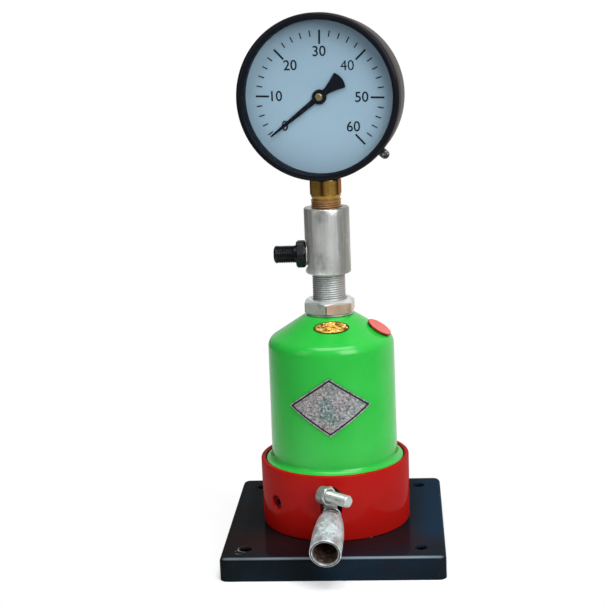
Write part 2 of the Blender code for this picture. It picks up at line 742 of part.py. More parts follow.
def pump_body(make, iron):
    chamber = TAPPET_RADIUS + RUNNING_GAP
    skirt_inner = BODY_SKIRT_RADIUS - BODY_SKIRT_WALL
    flange_radius = TANK_FLANGE_RADIUS
    fillet = arc(BODY_COLUMN_RADIUS + BODY_FILLET, BODY_FLANGE_TOP + BODY_FILLET, BODY_FILLET,
                 180.0, 270.0, CORNER_STEPS)
    profile = [
        (BODY_COLUMN_RADIUS, BODY_TOP), *fillet,
        (flange_radius, BODY_FLANGE_TOP), (flange_radius, BODY_FLANGE_BOTTOM),
        (BODY_SKIRT_RADIUS, BODY_FLANGE_BOTTOM), (BODY_SKIRT_RADIUS, BODY_SKIRT_BOTTOM),
        (skirt_inner, BODY_SKIRT_BOTTOM), (skirt_inner, BODY_FLANGE_BOTTOM),
        (chamber, BODY_FLANGE_BOTTOM), (chamber, SPRING_CHAMBER_TOP),
        (BARREL_BORE_RADIUS, SPRING_CHAMBER_TOP), (BARREL_BORE_RADIUS, BARREL_SHOULDER),
        (HEAD_BORE_RADIUS, BARREL_SHOULDER), (HEAD_BORE_RADIUS, BODY_TOP),
    ]
    body = make.turned("pump_body", profile, iron, LARGE_STEPS, closed=True)
    front = -BODY_SKIRT_RADIUS * math.cos(math.asin(FULCRUM_BLOCK_HALF_WIDTH / BODY_SKIRT_RADIUS))
    join(body, make.box("fulcrum_block_tool",
                        (-FULCRUM_BLOCK_HALF_WIDTH, front + SEAT_GAP, FULCRUM_BLOCK_BOTTOM),
                        (FULCRUM_BLOCK_HALF_WIDTH, -FULCRUM_BLOCK_BACK, BODY_FLANGE_BOTTOM + SEAT_GAP)))
    slot = BODY_SLOT_WIDTH / 2
    cut(body, make.box("body_slot_cutter",
                       (LEVER_X - slot, -TANK_FLANGE_RADIUS - CUT_OVERRUN, BODY_SKIRT_BOTTOM - CUT_OVERRUN),
                       (LEVER_X + slot, 0.0, BODY_FLANGE_BOTTOM + BODY_SLOT_RELIEF)))
    pin = PIVOT_PIN_DIAMETER / 2 + SEAT_GAP
    cut(body, make.cylinder("fulcrum_pin_cutter", pin, -BODY_SKIRT_RADIUS, BODY_SKIRT_RADIUS,
                            location=(0.0, PIVOT_Y, PIVOT_Z), rotation=radial(90.0)))
    for azimuth in RING_SCREW_AZIMUTHS:
        cut(body, make.cylinder("skirt_tapping_cutter", RING_SCREW_DIAMETER / 2 + THREAD_GAP,
                                skirt_inner - CUT_OVERRUN, BODY_SKIRT_RADIUS + CUT_OVERRUN,
                                location=(0.0, 0.0, RING_SCREW_HEIGHT), rotation=radial(azimuth)))
    reach = BODY_COLUMN_RADIUS + CUT_OVERRUN
    inward = BARREL_RADIUS
    cut(body, make.cylinder("inlet_cutter", INLET_DIAMETER / 2, inward, reach, steps=TINY_STEPS,
                            location=(0.0, 0.0, BARREL_INLET_HEIGHT), rotation=radial(90.0)))
    cut(body, make.cylinder("barrel_screw_cutter", BARREL_SCREW_DIAMETER / 2 + THREAD_GAP, inward, reach,
                            steps=TINY_STEPS, location=(0.0, 0.0, BARREL_SCREW_HEIGHT),
                            rotation=radial(180.0)))


def barrel(make, steel):
    bore = PLUNGER_RADIUS + RUNNING_GAP
    bottom = SPRING_CHAMBER_TOP + SEAT_GAP
    shoulder = BARREL_SHOULDER + SEAT_GAP
    profile = [
        (BARREL_HEAD_RADIUS, BARREL_TOP), (BARREL_HEAD_RADIUS, shoulder),
        (BARREL_RADIUS, shoulder), (BARREL_RADIUS, bottom), (bore, bottom), (bore, BARREL_TOP),
    ]
    sleeve = make.turned("barrel", profile, steel, SMALL_STEPS, closed=True)
    outside = BARREL_HEAD_RADIUS + CUT_OVERRUN
    cut(sleeve, make.cylinder("barrel_inlet_cutter", BARREL_INLET_DIAMETER / 2, bore - RUNNING_GAP, outside,
                              steps=TINY_STEPS, location=(0.0, 0.0, BARREL_INLET_HEIGHT),
                              rotation=radial(90.0)))
    cut(sleeve, make.cylinder("barrel_recess_cutter", BARREL_SCREW_TIP_DIAMETER / 2 + SEAT_GAP,
                              BARREL_HEAD_RADIUS - BARREL_RECESS_DEPTH - SEAT_GAP, outside,
                              steps=TINY_STEPS, location=(0.0, 0.0, BARREL_SCREW_HEIGHT),
                              rotation=radial(180.0)))


def barrel_screw(make, steel):
    seat = BODY_COLUMN_RADIUS + SEAT_GAP
    thread_end = HEAD_BORE_RADIUS + SEAT_GAP
    tip = BARREL_HEAD_RADIUS - BARREL_RECESS_DEPTH
    thread = BARREL_SCREW_DIAMETER / 2
    point = BARREL_SCREW_TIP_DIAMETER / 2
    corner = hex_corner_radius(BARREL_SCREW_FLATS)
    top = seat + BARREL_SCREW_HEAD
    place = {"location": (0.0, 0.0, BARREL_SCREW_HEIGHT), "rotation": radial(180.0)}
    profile = [(0.0, top), (corner, top), (corner, seat), (thread, seat), (thread, thread_end),
               (point, thread_end), (point, tip), (0.0, tip)]
    screw = make.turned("barrel_screw", profile, steel, TINY_STEPS, **place)
    keep(screw, make.plate("barrel_screw_hex_tool", [hexagon(BARREL_SCREW_FLATS)],
                           tip - CUT_OVERRUN, top + CUT_OVERRUN, **place))


def tappet(make, steel):
    inner = TAPPET_RADIUS - TAPPET_WALL
    floor = TAPPET_BOTTOM + TAPPET_FLOOR
    top = TAPPET_BOTTOM + TAPPET_LENGTH
    profile = [(0.0, floor), (inner, floor), (inner, top), (TAPPET_RADIUS, top),
               (TAPPET_RADIUS, TAPPET_BOTTOM + SMALL_EDGE), (TAPPET_RADIUS - SMALL_EDGE, TAPPET_BOTTOM),
               (0.0, TAPPET_BOTTOM)]
    make.turned("tappet", profile, steel, SMALL_STEPS)


def plunger(make, steel):
    foot_top = PLUNGER_BOTTOM + PLUNGER_FOOT_HEIGHT
    neck_top = foot_top + PLUNGER_NECK_HEIGHT
    top = PLUNGER_BOTTOM + PLUNGER_LENGTH
    profile = [(0.0, top), (PLUNGER_RADIUS, top), (PLUNGER_RADIUS, neck_top), (PLUNGER_NECK_RADIUS, neck_top),
               (PLUNGER_NECK_RADIUS, foot_top), (PLUNGER_FOOT_RADIUS, foot_top),
               (PLUNGER_FOOT_RADIUS, PLUNGER_BOTTOM), (0.0, PLUNGER_BOTTOM)]
    make.turned("plunger", profile, steel, SMALL_STEPS)


def spring_seat(make, name, outer, inner, bottom, steel):
    top = bottom + SPRING_SEAT_THICKNESS
    profile = [(outer, top), (outer, bottom), (inner, bottom), (inner, top)]
    make.turned(name, profile, steel, SMALL_STEPS, closed=True)


def coil(radius, wire, turns, bottom, top):
    """Centre line of a helical spring whose wire fills the space between two heights."""
    start = bottom + wire / 2
    rise = top - wire / 2 - start
    count = turns * SPRING_POINTS
    points = []
    for index in range(count + 1):
        angle = 2.0 * math.pi * index / SPRING_POINTS
        points.append((radius * math.cos(angle), radius * math.sin(angle), start + rise * index / count))
    return points


def springs(make, steel):
    make.wire("plunger_spring", coil(PLUNGER_SPRING_RADIUS, PLUNGER_SPRING_WIRE, PLUNGER_SPRING_TURNS,
                                     PLUNGER_SPRING_BOTTOM, PLUNGER_SPRING_TOP), PLUNGER_SPRING_WIRE, steel)
    bottom = valve_shoulder() + SEAT_GAP
    top = STUD_BOTTOM + STUD_CHAMBER_HEIGHT - SEAT_GAP
    make.wire("delivery_valve_spring", coil(VALVE_SPRING_RADIUS, VALVE_SPRING_WIRE, VALVE_SPRING_TURNS,
                                            bottom, top), VALVE_SPRING_WIRE, steel)


def valve_shoulder():
    return VALVE_SEAT_TOP + SEAT_GAP + VALVE_HEAD_HEIGHT


def delivery_valve_parts(make, steel, copper):
    bore = VALVE_STEM_RADIUS + RUNNING_GAP
    flange_top = VALVE_SEAT_BOTTOM + VALVE_SEAT_FLANGE
    make.turned("delivery_valve_seat", [
        (VALVE_SEAT_NECK_RADIUS, VALVE_SEAT_TOP), (VALVE_SEAT_NECK_RADIUS, flange_top),
        (VALVE_SEAT_RADIUS, flange_top), (VALVE_SEAT_RADIUS, VALVE_SEAT_BOTTOM),
        (bore, VALVE_SEAT_BOTTOM), (bore, VALVE_SEAT_TOP)], steel, SMALL_STEPS, closed=True)
    head_bottom = VALVE_SEAT_TOP + SEAT_GAP
    shoulder = valve_shoulder()
    spigot_top = shoulder + VALVE_SPIGOT_HEIGHT
    stem_bottom = head_bottom - VALVE_STEM_LENGTH
    make.turned("delivery_valve", [
        (0.0, spigot_top), (VALVE_SPIGOT_RADIUS, spigot_top), (VALVE_SPIGOT_RADIUS, shoulder),
        (VALVE_HEAD_RADIUS, shoulder), (VALVE_HEAD_RADIUS, head_bottom), (VALVE_STEM_RADIUS, head_bottom),
        (VALVE_STEM_RADIUS, stem_bottom), (0.0, stem_bottom)], steel, SMALL_STEPS)
    inner = VALVE_SEAT_NECK_RADIUS + SEAT_GAP
    top = DELIVERY_GASKET_BOTTOM + DELIVERY_GASKET_THICKNESS
    make.turned("delivery_gasket", [
        (VALVE_SEAT_RADIUS, top), (VALVE_SEAT_RADIUS, DELIVERY_GASKET_BOTTOM),
        (inner, DELIVERY_GASKET_BOTTOM), (inner, top)], copper, SMALL_STEPS, closed=True)


def valve_holder(make, steel):
    chamber_top = STUD_BOTTOM + STUD_CHAMBER_HEIGHT
    make.turned("valve_holder", [
        (STUD_RADIUS - STUD_CHAMFER, STUD_TOP), (STUD_RADIUS, STUD_TOP - STUD_CHAMFER),
        (STUD_RADIUS, STUD_BOTTOM + STUD_CHAMFER), (STUD_RADIUS - STUD_CHAMFER, STUD_BOTTOM),
        (STUD_CHAMBER_RADIUS, STUD_BOTTOM), (STUD_CHAMBER_RADIUS, chamber_top),
        (STUD_PASSAGE_RADIUS, chamber_top), (STUD_PASSAGE_RADIUS, STUD_TOP)],
        steel, MEDIUM_STEPS, closed=True)


def lock_nut(make, steel):
    hole = STUD_RADIUS + THREAD_GAP
    top = LOCK_NUT_BOTTOM + LOCK_NUT_HEIGHT
    corner = hex_corner_radius(LOCK_NUT_FLATS)
    face = LOCK_NUT_FLATS / 2
    drop = (corner - face) * math.tan(math.radians(30.0))
    profile = [(face, top), (corner, top - drop), (corner, LOCK_NUT_BOTTOM + drop), (face, LOCK_NUT_BOTTOM),
               (hole, LOCK_NUT_BOTTOM), (hole, top)]
    nut = make.turned("lock_nut", profile, steel, MEDIUM_STEPS, closed=True)
    keep(nut, make.plate("lock_nut_hex_tool", [hexagon(LOCK_NUT_FLATS, LOCK_NUT_CORNER_TURN - 90.0)],
                         LOCK_NUT_BOTTOM - CUT_OVERRUN, top + CUT_OVERRUN))


def lock_washer(make, steel):
    hole = STUD_RADIUS + THREAD_GAP
    top = LOCK_WASHER_BOTTOM + LOCK_WASHER_THICKNESS
    make.turned("lock_washer", [(LOCK_WASHER_RADIUS, top), (LOCK_WASHER_RADIUS, LOCK_WASHER_BOTTOM),
                                (hole, LOCK_WASHER_BOTTOM), (hole, top)], steel, MEDIUM_STEPS, closed=True)


# Tank


def cone_height(radius, lift=0.0):
    """Height of the tank's cone at a radius, or of a surface that lies lift off it."""
    slope = math.radians(TANK_CONE_SLOPE)
    return TANK_TOP - (radius - TANK_TOP_RADIUS) * math.tan(slope) + lift / math.cos(slope)


def tank_cover(make, paint):
    slope = math.radians(TANK_CONE_SLOPE)
    hole = STUD_RADIUS + THREAD_GAP
    shoulder_x = TANK_WALL_TOP_RADIUS - TANK_SHOULDER_RADIUS
    shoulder_z = cone_height(shoulder_x) - TANK_SHOULDER_RADIUS / math.cos(slope)
    shoulder = arc(shoulder_x, shoulder_z, TANK_SHOULDER_RADIUS, 90.0 - TANK_CONE_SLOPE, 0.0,
                   CORNER_STEPS + 1)
    top_edge = TANK_TOP_RADIUS - TANK_TOP_EDGE / 2
    edge_foot = TANK_TOP_RADIUS + TANK_TOP_EDGE / 2
    flare = arc(TANK_WALL_FOOT_RADIUS + TANK_FLARE_RADIUS, TANK_FLANGE_TOP + TANK_FLARE_RADIUS,
                TANK_FLARE_RADIUS, 180.0, 270.0, CORNER_STEPS)
    inner_flange = TANK_FLANGE_RADIUS
    profile = [(hole, TANK_TOP), (top_edge, TANK_TOP), (edge_foot, cone_height(edge_foot)), *shoulder, *flare,
               (inner_flange, TANK_FLANGE_TOP)]
    cover = make.turned("tank_cover", profile, paint, LARGE_STEPS)
    solidify(cover, TANK_SHEET)
    cut(cover, make.cylinder("filler_hole_cutter", FILLER_HOLE_DIAMETER / 2 + SEAT_GAP,
                             -TANK_SHEET - CUT_OVERRUN, CUT_OVERRUN, **filler_place()))


def filler_place():
    """Where the filler sits on the cone, with local Z square to it."""
    tilt = math.radians(TANK_CONE_SLOPE)
    return {
        "location": along(FILLER_AZIMUTH, FILLER_PLACE_RADIUS, cone_height(FILLER_PLACE_RADIUS)),
        "rotation": (tilt, 0.0, math.radians(FILLER_AZIMUTH)),
    }


def filler(make, plastic, brass):
    place = filler_place()
    outer = FILLER_HOLE_DIAMETER / 2
    inner = outer - STRAINER_WALL
    flange = outer + STRAINER_FLANGE_WIDTH
    rim_bottom = SEAT_GAP
    rim_top = rim_bottom + STRAINER_WALL
    bottom = -STRAINER_LENGTH
    make.turned("filler_strainer", [
        (0.0, bottom + STRAINER_WALL), (inner, bottom + STRAINER_WALL), (inner, rim_top),
        (flange, rim_top), (flange, rim_bottom), (outer, rim_bottom), (outer, bottom), (0.0, bottom)],
        brass, SMALL_STEPS, **place)
    plug = inner - SEAT_GAP
    cap_bottom = rim_top + SEAT_GAP
    cap_top = cap_bottom + FILLER_CAP_THICKNESS
    radius = FILLER_CAP_DIAMETER / 2
    make.turned("filler_cap", [
        (0.0, cap_top), (radius - FILLER_CAP_EDGE, cap_top), (radius, cap_top - FILLER_CAP_EDGE),
        (radius, cap_bottom), (plug, cap_bottom), (plug, cap_bottom - FILLER_PLUG_LENGTH),
        (0.0, cap_bottom - FILLER_PLUG_LENGTH)], plastic, SMALL_STEPS, **place)


def tank_gasket(make, rubber):
    outer = TANK_FLANGE_RADIUS
    inner = outer - TANK_GASKET_WIDTH
    top = GASKET_BOTTOM + TANK_GASKET_THICKNESS
    make.turned("tank_gasket", [(outer, top), (outer, GASKET_BOTTOM), (inner, GASKET_BOTTOM), (inner, top)],
                rubber, LARGE_STEPS, closed=True)


def nameplate(make, metal):
    inner = TANK_WALL_FOOT_RADIUS + SEAT_GAP
    outer = inner + NAMEPLATE_THICKNESS
    top = NAMEPLATE_CENTRE + NAMEPLATE_HEIGHT
    bottom = NAMEPLATE_CENTRE - NAMEPLATE_HEIGHT
    plate = make.turned("nameplate", [(outer, top), (outer, bottom), (inner, bottom), (inner, top)],
                        metal, LARGE_STEPS, closed=True)
    half_height = NAMEPLATE_HEIGHT / 2
    half_chord = outer * math.sin(NAMEPLATE_WIDTH / 2 / outer)
    diamond = [(half_chord, NAMEPLATE_CENTRE), (0.0, NAMEPLATE_CENTRE + half_height),
               (-half_chord, NAMEPLATE_CENTRE), (0.0, NAMEPLATE_CENTRE - half_height)]
    keep(plate, make.plate("nameplate_tool", [diamond], 0.0, outer + CUT_OVERRUN, rotation=radial(0.0)))


def oval_plate(make, foil):
    low = OVAL_PLACE_RADIUS - OVAL_HEIGHT
    high = OVAL_PLACE_RADIUS + OVAL_HEIGHT
    outer = SEAT_GAP + OVAL_THICKNESS
    plate = make.turned("oval_plate", [
        (low, cone_height(low, outer)), (high, cone_height(high, outer)),
        (high, cone_height(high, SEAT_GAP)), (low, cone_height(low, SEAT_GAP))],
        foil, LARGE_STEPS, closed=True)
    steps = MEDIUM_STEPS
    angles = [2 * math.pi * index / steps for index in range(steps)]
    oval = [(OVAL_WIDTH / 2 * math.cos(angle), OVAL_HEIGHT / 2 * math.sin(angle)) for angle in angles]
    tilt = math.radians(TANK_CONE_SLOPE)
    keep(plate, make.plate("oval_tool", [oval], -OVAL_HEIGHT, OVAL_HEIGHT,
                           location=along(OVAL_AZIMUTH, OVAL_PLACE_RADIUS, cone_height(OVAL_PLACE_RADIUS)),
                           rotation=(tilt, 0.0, math.radians(OVAL_AZIMUTH))))


# Lever


def rocker_arm(make, steel):
    """Origin on the pivot; -Y is towards the handle."""
    half = ARM_WIDTH / 2
    roller_y = -PIVOT_Y
    roller_z = ROLLER_Z - PIVOT_Z
    neck_z = ARM_NECK_RISE
    arm = make.cylinder("rocker_arm", PIVOT_BOSS_DIAMETER / 2, -half, half, steel, rotation=radial(90.0))
    side = [
        (0.0, ARM_HEIGHT / 2), (roller_y, roller_z + FORK_HEIGHT / 2),
        *arc(roller_y, roller_z, FORK_HEIGHT / 2, 60.0, -60.0, CORNER_STEPS),
        (roller_y, roller_z - FORK_HEIGHT / 2), (0.0, -ARM_HEIGHT / 2),
    ]
    join(arm, make.plate("arm_bar_tool", [side], -half, half,
                         rotation=(math.radians(90.0), 0.0, math.radians(90.0))))
    fork = FORK_SLOT_WIDTH / 2
    room = ROLLER_RADIUS + RUNNING_GAP + SEAT_GAP
    cut(arm, make.box("fork_cutter", (-fork, roller_y - room, roller_z - ROLLER_DIAMETER),
                      (fork, roller_y + ROLLER_DIAMETER, roller_z + ROLLER_DIAMETER)))
    pin_hole = ROLLER_PIN_DIAMETER / 2 + SEAT_GAP
    cut(arm, make.cylinder("roller_pin_cutter", pin_hole, -ARM_WIDTH, ARM_WIDTH, steps=TINY_STEPS,
                           location=(0.0, roller_y, roller_z), rotation=radial(90.0)))
    neck_end = PIVOT_Y - CLAMP_FACE_Y + ARM_NECK_DIAMETER / 2
    neck = make.cylinder("arm_neck_tool", ARM_NECK_DIAMETER / 2, 0.0, neck_end,
                         location=(0.0, 0.0, neck_z), rotation=radial(0.0))
    lug = make.box("arm_lug_tool", (-LUG_WIDTH / 2, -LUG_FRONT - PIVOT_Y, LUG_BOTTOM - PIVOT_Z),
                   (LUG_WIDTH / 2, -LUG_BACK - PIVOT_Y, HEAD_RISE))
    cut(lug, make.box("arm_lug_face_cutter", (-LUG_FRONT, -LUG_FRONT, -SEAT_GAP),
                      (LUG_FRONT, LUG_FRONT, LUG_FRONT), **socket_place()))
    join(arm, neck, lug, make.cylinder("arm_head_tool", HEAD_RADIUS, -HEAD_DEPTH, CUT_OVERRUN,
                                       **clamp_place()))
    bevel_bottom = neck_z - ARM_NECK_DIAMETER / 2 - SEAT_GAP - HEAD_RISE
    cut(arm, make.box("arm_bevel_cutter", (-LUG_FRONT, bevel_bottom, 0.0), (LUG_FRONT, LUG_FRONT, LUG_FRONT),
                      **clamp_place()))
    cut(arm, make.cylinder("spigot_cutter", SOCKET_SPIGOT_RADIUS + THREAD_GAP,
                           -SOCKET_SPIGOT_LENGTH - SEAT_GAP, CUT_OVERRUN, **socket_place()))
    cut(arm, make.cylinder("clamp_stud_cutter", CLAMP_STUD_DIAMETER / 2 + THREAD_GAP,
                           -CLAMP_STUD_DEPTH - SEAT_GAP, CUT_OVERRUN, **clamp_place()))
    cut(arm, make.cylinder("arm_pin_cutter", PIVOT_PIN_DIAMETER / 2 + RUNNING_GAP, -ARM_WIDTH, ARM_WIDTH,
                           rotation=radial(90.0)))


def clamp_place():
    """Local Z along the clamp stud, from its seat on the arm's head."""
    return {
        "location": (CLAMP_FACE_X, CLAMP_FACE_Y - PIVOT_Y, HEAD_RISE),
        "rotation": radial(CLAMP_AZIMUTH),
    }


def socket_place():
    """Local Z along the socket towards its mouth, from its back face."""
    return {
        "location": (SOCKET_BACK_X, -SOCKET_BACK_Y - PIVOT_Y, SOCKET_BACK_Z - PIVOT_Z),
        "rotation": (math.radians(90.0 + SOCKET_DROOP), 0.0, math.radians(SOCKET_AZIMUTH)),
    }


def lever_socket(make, zinc):
    mouth = SOCKET_LENGTH
    profile = [
        (0.0, mouth - SOCKET_BORE_DEPTH), (SOCKET_BORE_RADIUS, mouth - SOCKET_BORE_DEPTH),
        (SOCKET_BORE_RADIUS, mouth - SOCKET_RIM), (SOCKET_BORE_RADIUS + SOCKET_RIM, mouth),
        (SOCKET_RADIUS - SOCKET_RIM, mouth), (SOCKET_RADIUS, mouth - SOCKET_RIM),
        (SOCKET_NECK_RADIUS, SOCKET_CONE_LENGTH), (SOCKET_BACK_RADIUS, 0.0),
        (SOCKET_SPIGOT_RADIUS, 0.0), (SOCKET_SPIGOT_RADIUS, -SOCKET_SPIGOT_LENGTH),
        (0.0, -SOCKET_SPIGOT_LENGTH),
    ]
    make.turned("lever_socket", profile, zinc, MEDIUM_STEPS, **socket_place())


def clamp_parts(make, zinc):
    place = clamp_place()
    radius = CLAMP_STUD_DIAMETER / 2
    nut_top = SEAT_GAP + CLAMP_NUT_HEIGHT
    end = nut_top + CLAMP_STUD_SHOWN
    edge = CLAMP_STUD_EDGE
    make.turned("clamp_stud", [
        (0.0, end), (radius - edge, end), (radius, end - edge), (radius, -CLAMP_STUD_DEPTH),
        (0.0, -CLAMP_STUD_DEPTH)], zinc, SMALL_STEPS, **place)
    hole = radius + THREAD_GAP
    corner = hex_corner_radius(CLAMP_NUT_FLATS)
    face = CLAMP_NUT_FLATS / 2
    drop = (corner - face) * math.tan(math.radians(30.0))
    nut = make.turned("clamp_nut", [
        (face, nut_top), (corner, nut_top - drop), (corner, SEAT_GAP + drop), (face, SEAT_GAP),
        (hole, SEAT_GAP), (hole, nut_top)], zinc, SMALL_STEPS, closed=True, **place)
    keep(nut, make.plate("clamp_nut_hex_tool", [hexagon(CLAMP_NUT_FLATS, 0.0)],
                         -CUT_OVERRUN, nut_top + CUT_OVERRUN, **place))


def lever_pins(make, steel):
    """The fulcrum pin, held by the body, and the roller with its pin at the arm's fork."""
    roller_place = {"location": (0.0, -PIVOT_Y, ROLLER_Z - PIVOT_Z), "rotation": radial(90.0)}
    bore = ROLLER_PIN_DIAMETER / 2 + RUNNING_GAP
    half = ROLLER_WIDTH / 2
    make.turned("tappet_roller", [(ROLLER_RADIUS, half), (ROLLER_RADIUS, -half), (bore, -half), (bore, half)],
                steel, SMALL_STEPS, closed=True, **roller_place)
    make.cylinder("roller_pin", ROLLER_PIN_DIAMETER / 2, -ARM_WIDTH / 2, ARM_WIDTH / 2, steel,
                  steps=TINY_STEPS, **roller_place)


def fulcrum_pin(make, steel):
    half = math.sqrt(BODY_SKIRT_RADIUS ** 2 - (PIVOT_Y - PIVOT_PIN_DIAMETER / 2) ** 2) - SEAT_GAP
    make.cylinder("fulcrum_pin", PIVOT_PIN_DIAMETER / 2, -half, half, steel,
                  location=(0.0, PIVOT_Y, PIVOT_Z), rotation=radial(90.0))


# Connector


def connector_body(make, steel):
    bore = STUD_RADIUS + THREAD_GAP
    bore_top = STUD_TOP + SEAT_GAP
    thread = GAUGE_THREAD_RADIUS + THREAD_GAP
    thread_bottom = CONNECTOR_TOP - GAUGE_THREAD_DEPTH
    inner = CONNECTOR_RADIUS - CONNECTOR_EDGE
    body = make.turned("connector_body", [
        (inner, CONNECTOR_TOP), (CONNECTOR_RADIUS, CONNECTOR_TOP - CONNECTOR_EDGE),
        (CONNECTOR_RADIUS, CONNECTOR_BOTTOM + CONNECTOR_EDGE), (inner, CONNECTOR_BOTTOM),
        (bore, CONNECTOR_BOTTOM), (bore, bore_top), (CONNECTOR_PASSAGE_RADIUS, bore_top),
        (CONNECTOR_PASSAGE_RADIUS, thread_bottom), (thread, thread_bottom), (thread, CONNECTOR_TOP)],
        steel, MEDIUM_STEPS, closed=True)
    place = {"location": (0.0, 0.0, OUTLET_HEIGHT), "rotation": radial(-90.0)}
    far = CONNECTOR_RADIUS + CUT_OVERRUN
    cut(body, make.cylinder("spot_face_cutter", OUTLET_SPOT_RADIUS, outlet_face(), far,
                            steps=MEDIUM_STEPS, **place))
    cut(body, make.cylinder("outlet_thread_cutter", OUTLET_SPIGOT_RADIUS + THREAD_GAP,
                            outlet_face() - OUTLET_SPIGOT_LENGTH, far, **place))
    cut(body, make.cylinder("outlet_passage_cutter", OUTLET_PASSAGE_RADIUS, 0.0, far,
                            steps=TINY_STEPS, **place))


def outlet_face():
    return CONNECTOR_RADIUS - OUTLET_SPOT_DEPTH


def outlet_parts(make, black, copper):
    place = {"location": (0.0, 0.0, OUTLET_HEIGHT), "rotation": radial(-90.0)}
    washer_back = outlet_face() + SEAT_GAP
    washer_front = washer_back + OUTLET_WASHER_THICKNESS
    hole = OUTLET_SPIGOT_RADIUS + THREAD_GAP
    make.turned("outlet_washer", [
        (OUTLET_WASHER_RADIUS, washer_front), (OUTLET_WASHER_RADIUS, washer_back), (hole, washer_back),
        (hole, washer_front)], copper, MEDIUM_STEPS, closed=True, **place)
    hex_back = washer_front + SEAT_GAP
    hex_front = hex_back + OUTLET_HEX_LENGTH
    end = hex_front + OUTLET_THREAD_LENGTH
    tail = outlet_face() - OUTLET_SPIGOT_LENGTH + SEAT_GAP
    corner = hex_corner_radius(OUTLET_HEX_FLATS)
    face = OUTLET_HEX_FLATS / 2
    drop = (corner - face) * math.tan(math.radians(30.0))
    union = make.turned("outlet_union", [
        (OUTLET_THREAD_RADIUS - OUTLET_END_EDGE, end), (OUTLET_THREAD_RADIUS, end - OUTLET_END_EDGE),
        (OUTLET_THREAD_RADIUS, hex_front), (face, hex_front), (corner, hex_front - drop),
        (corner, hex_back + drop), (face, hex_back), (OUTLET_SPIGOT_RADIUS, hex_back),
        (OUTLET_SPIGOT_RADIUS, tail), (OUTLET_PASSAGE_RADIUS, tail), (OUTLET_PASSAGE_RADIUS, end)],
        black, SMALL_STEPS, closed=True, **place)
    keep(union, make.plate("outlet_hex_tool", [hexagon(OUTLET_HEX_FLATS)],
                           tail - CUT_OVERRUN, end + CUT_OVERRUN, **place))


# Gauge: its own frame has local Z out of the face, X to the right and Y up


def gauge_stem(make, gauge, brass):
    """Stands on the connector; the block inside the case carries the movement."""
    case_inside = math.sqrt((CASE_RADIUS - CASE_SHEET) ** 2 - (BLOCK_WIDTH / 2) ** 2)
    block_bottom = GAUGE_HEIGHT - case_inside + 2 * SEAT_GAP
    block_top = block_bottom + BLOCK_HEIGHT
    corner = hex_corner_radius(STEM_HEX_FLATS)
    face = STEM_HEX_FLATS / 2
    drop = (corner - face) * math.tan(math.radians(30.0))
    bore_top = block_bottom + BLOCK_HEIGHT / 2
    neck_top = block_bottom + BLOCK_STEP
    turn = math.radians(GAUGE_AZIMUTH)
    hex_middle = (STEM_HEX_BOTTOM + STEM_HEX_TOP) / 2
    stem = make.turned("gauge_stem", [
        (0.0, neck_top), (STEM_NECK_RADIUS, neck_top), (STEM_NECK_RADIUS, hex_middle),
        (STEM_COLLAR_RADIUS, hex_middle), (STEM_COLLAR_RADIUS, STEM_COLLAR_BOTTOM),
        (GAUGE_THREAD_RADIUS, STEM_COLLAR_BOTTOM), (GAUGE_THREAD_RADIUS, STEM_BOTTOM + GAUGE_THREAD_EDGE),
        (GAUGE_THREAD_RADIUS - GAUGE_THREAD_EDGE, STEM_BOTTOM), (0.0, STEM_BOTTOM)], brass, MEDIUM_STEPS)
    nut = make.turned("stem_hex_tool", [
        (0.0, STEM_HEX_TOP), (face, STEM_HEX_TOP), (corner, STEM_HEX_TOP - drop),
        (corner, STEM_HEX_BOTTOM + drop), (face, STEM_HEX_BOTTOM), (0.0, STEM_HEX_BOTTOM)], None, MEDIUM_STEPS)
    keep(nut, make.plate("stem_flats_tool", [hexagon(STEM_HEX_FLATS, -90.0)], STEM_HEX_BOTTOM - CUT_OVERRUN,
                         STEM_HEX_TOP + CUT_OVERRUN, rotation=(0.0, 0.0, turn)))
    join(stem, nut)
    block = make.box("stem_block_tool", (-BLOCK_WIDTH / 2, -BLOCK_FRONT, block_bottom),
                     (BLOCK_WIDTH / 2, BLOCK_BACK, block_top), rotation=(0.0, 0.0, turn))
    plate_seat = -(BACK_PLATE_BACK - SEAT_GAP)
    cut(block, make.box("stem_block_step_cutter", (-BLOCK_WIDTH, -BLOCK_WIDTH, block_bottom + BLOCK_STEP),
                        (BLOCK_WIDTH, plate_seat, block_top + CUT_OVERRUN), rotation=(0.0, 0.0, turn)))
    join(stem, block)
    cut(stem, make.cylinder("stem_bore_cutter", STEM_BORE_RADIUS, STEM_BOTTOM - CUT_OVERRUN, bore_top,
                            steps=TINY_STEPS))
    screw_end = CASE_BACK - SEAT_GAP + CASE_SCREW_LENGTH + SEAT_GAP
    for place in case_screw_places():
        cut(stem, gauge.cylinder("block_tapping_cutter", CASE_SCREW_DIAMETER / 2 + THREAD_GAP, -BLOCK_WIDTH,
                                 screw_end, steps=TINY_STEPS, location=place))


def gauge_seal(make, copper):
    top = GAUGE_SEAL_BOTTOM + GAUGE_SEAL_THICKNESS
    make.turned("gauge_seal", [
        (GAUGE_THREAD_RADIUS, top), (GAUGE_THREAD_RADIUS, GAUGE_SEAL_BOTTOM),
        (CONNECTOR_PASSAGE_RADIUS, GAUGE_SEAL_BOTTOM), (CONNECTOR_PASSAGE_RADIUS, top)],
        copper, SMALL_STEPS, closed=True)


def case_screw_places():
    for side in (-1, 1):
        yield (side * CASE_SCREW_SPACING / 2, -CASE_SCREW_DROP, 0.0)


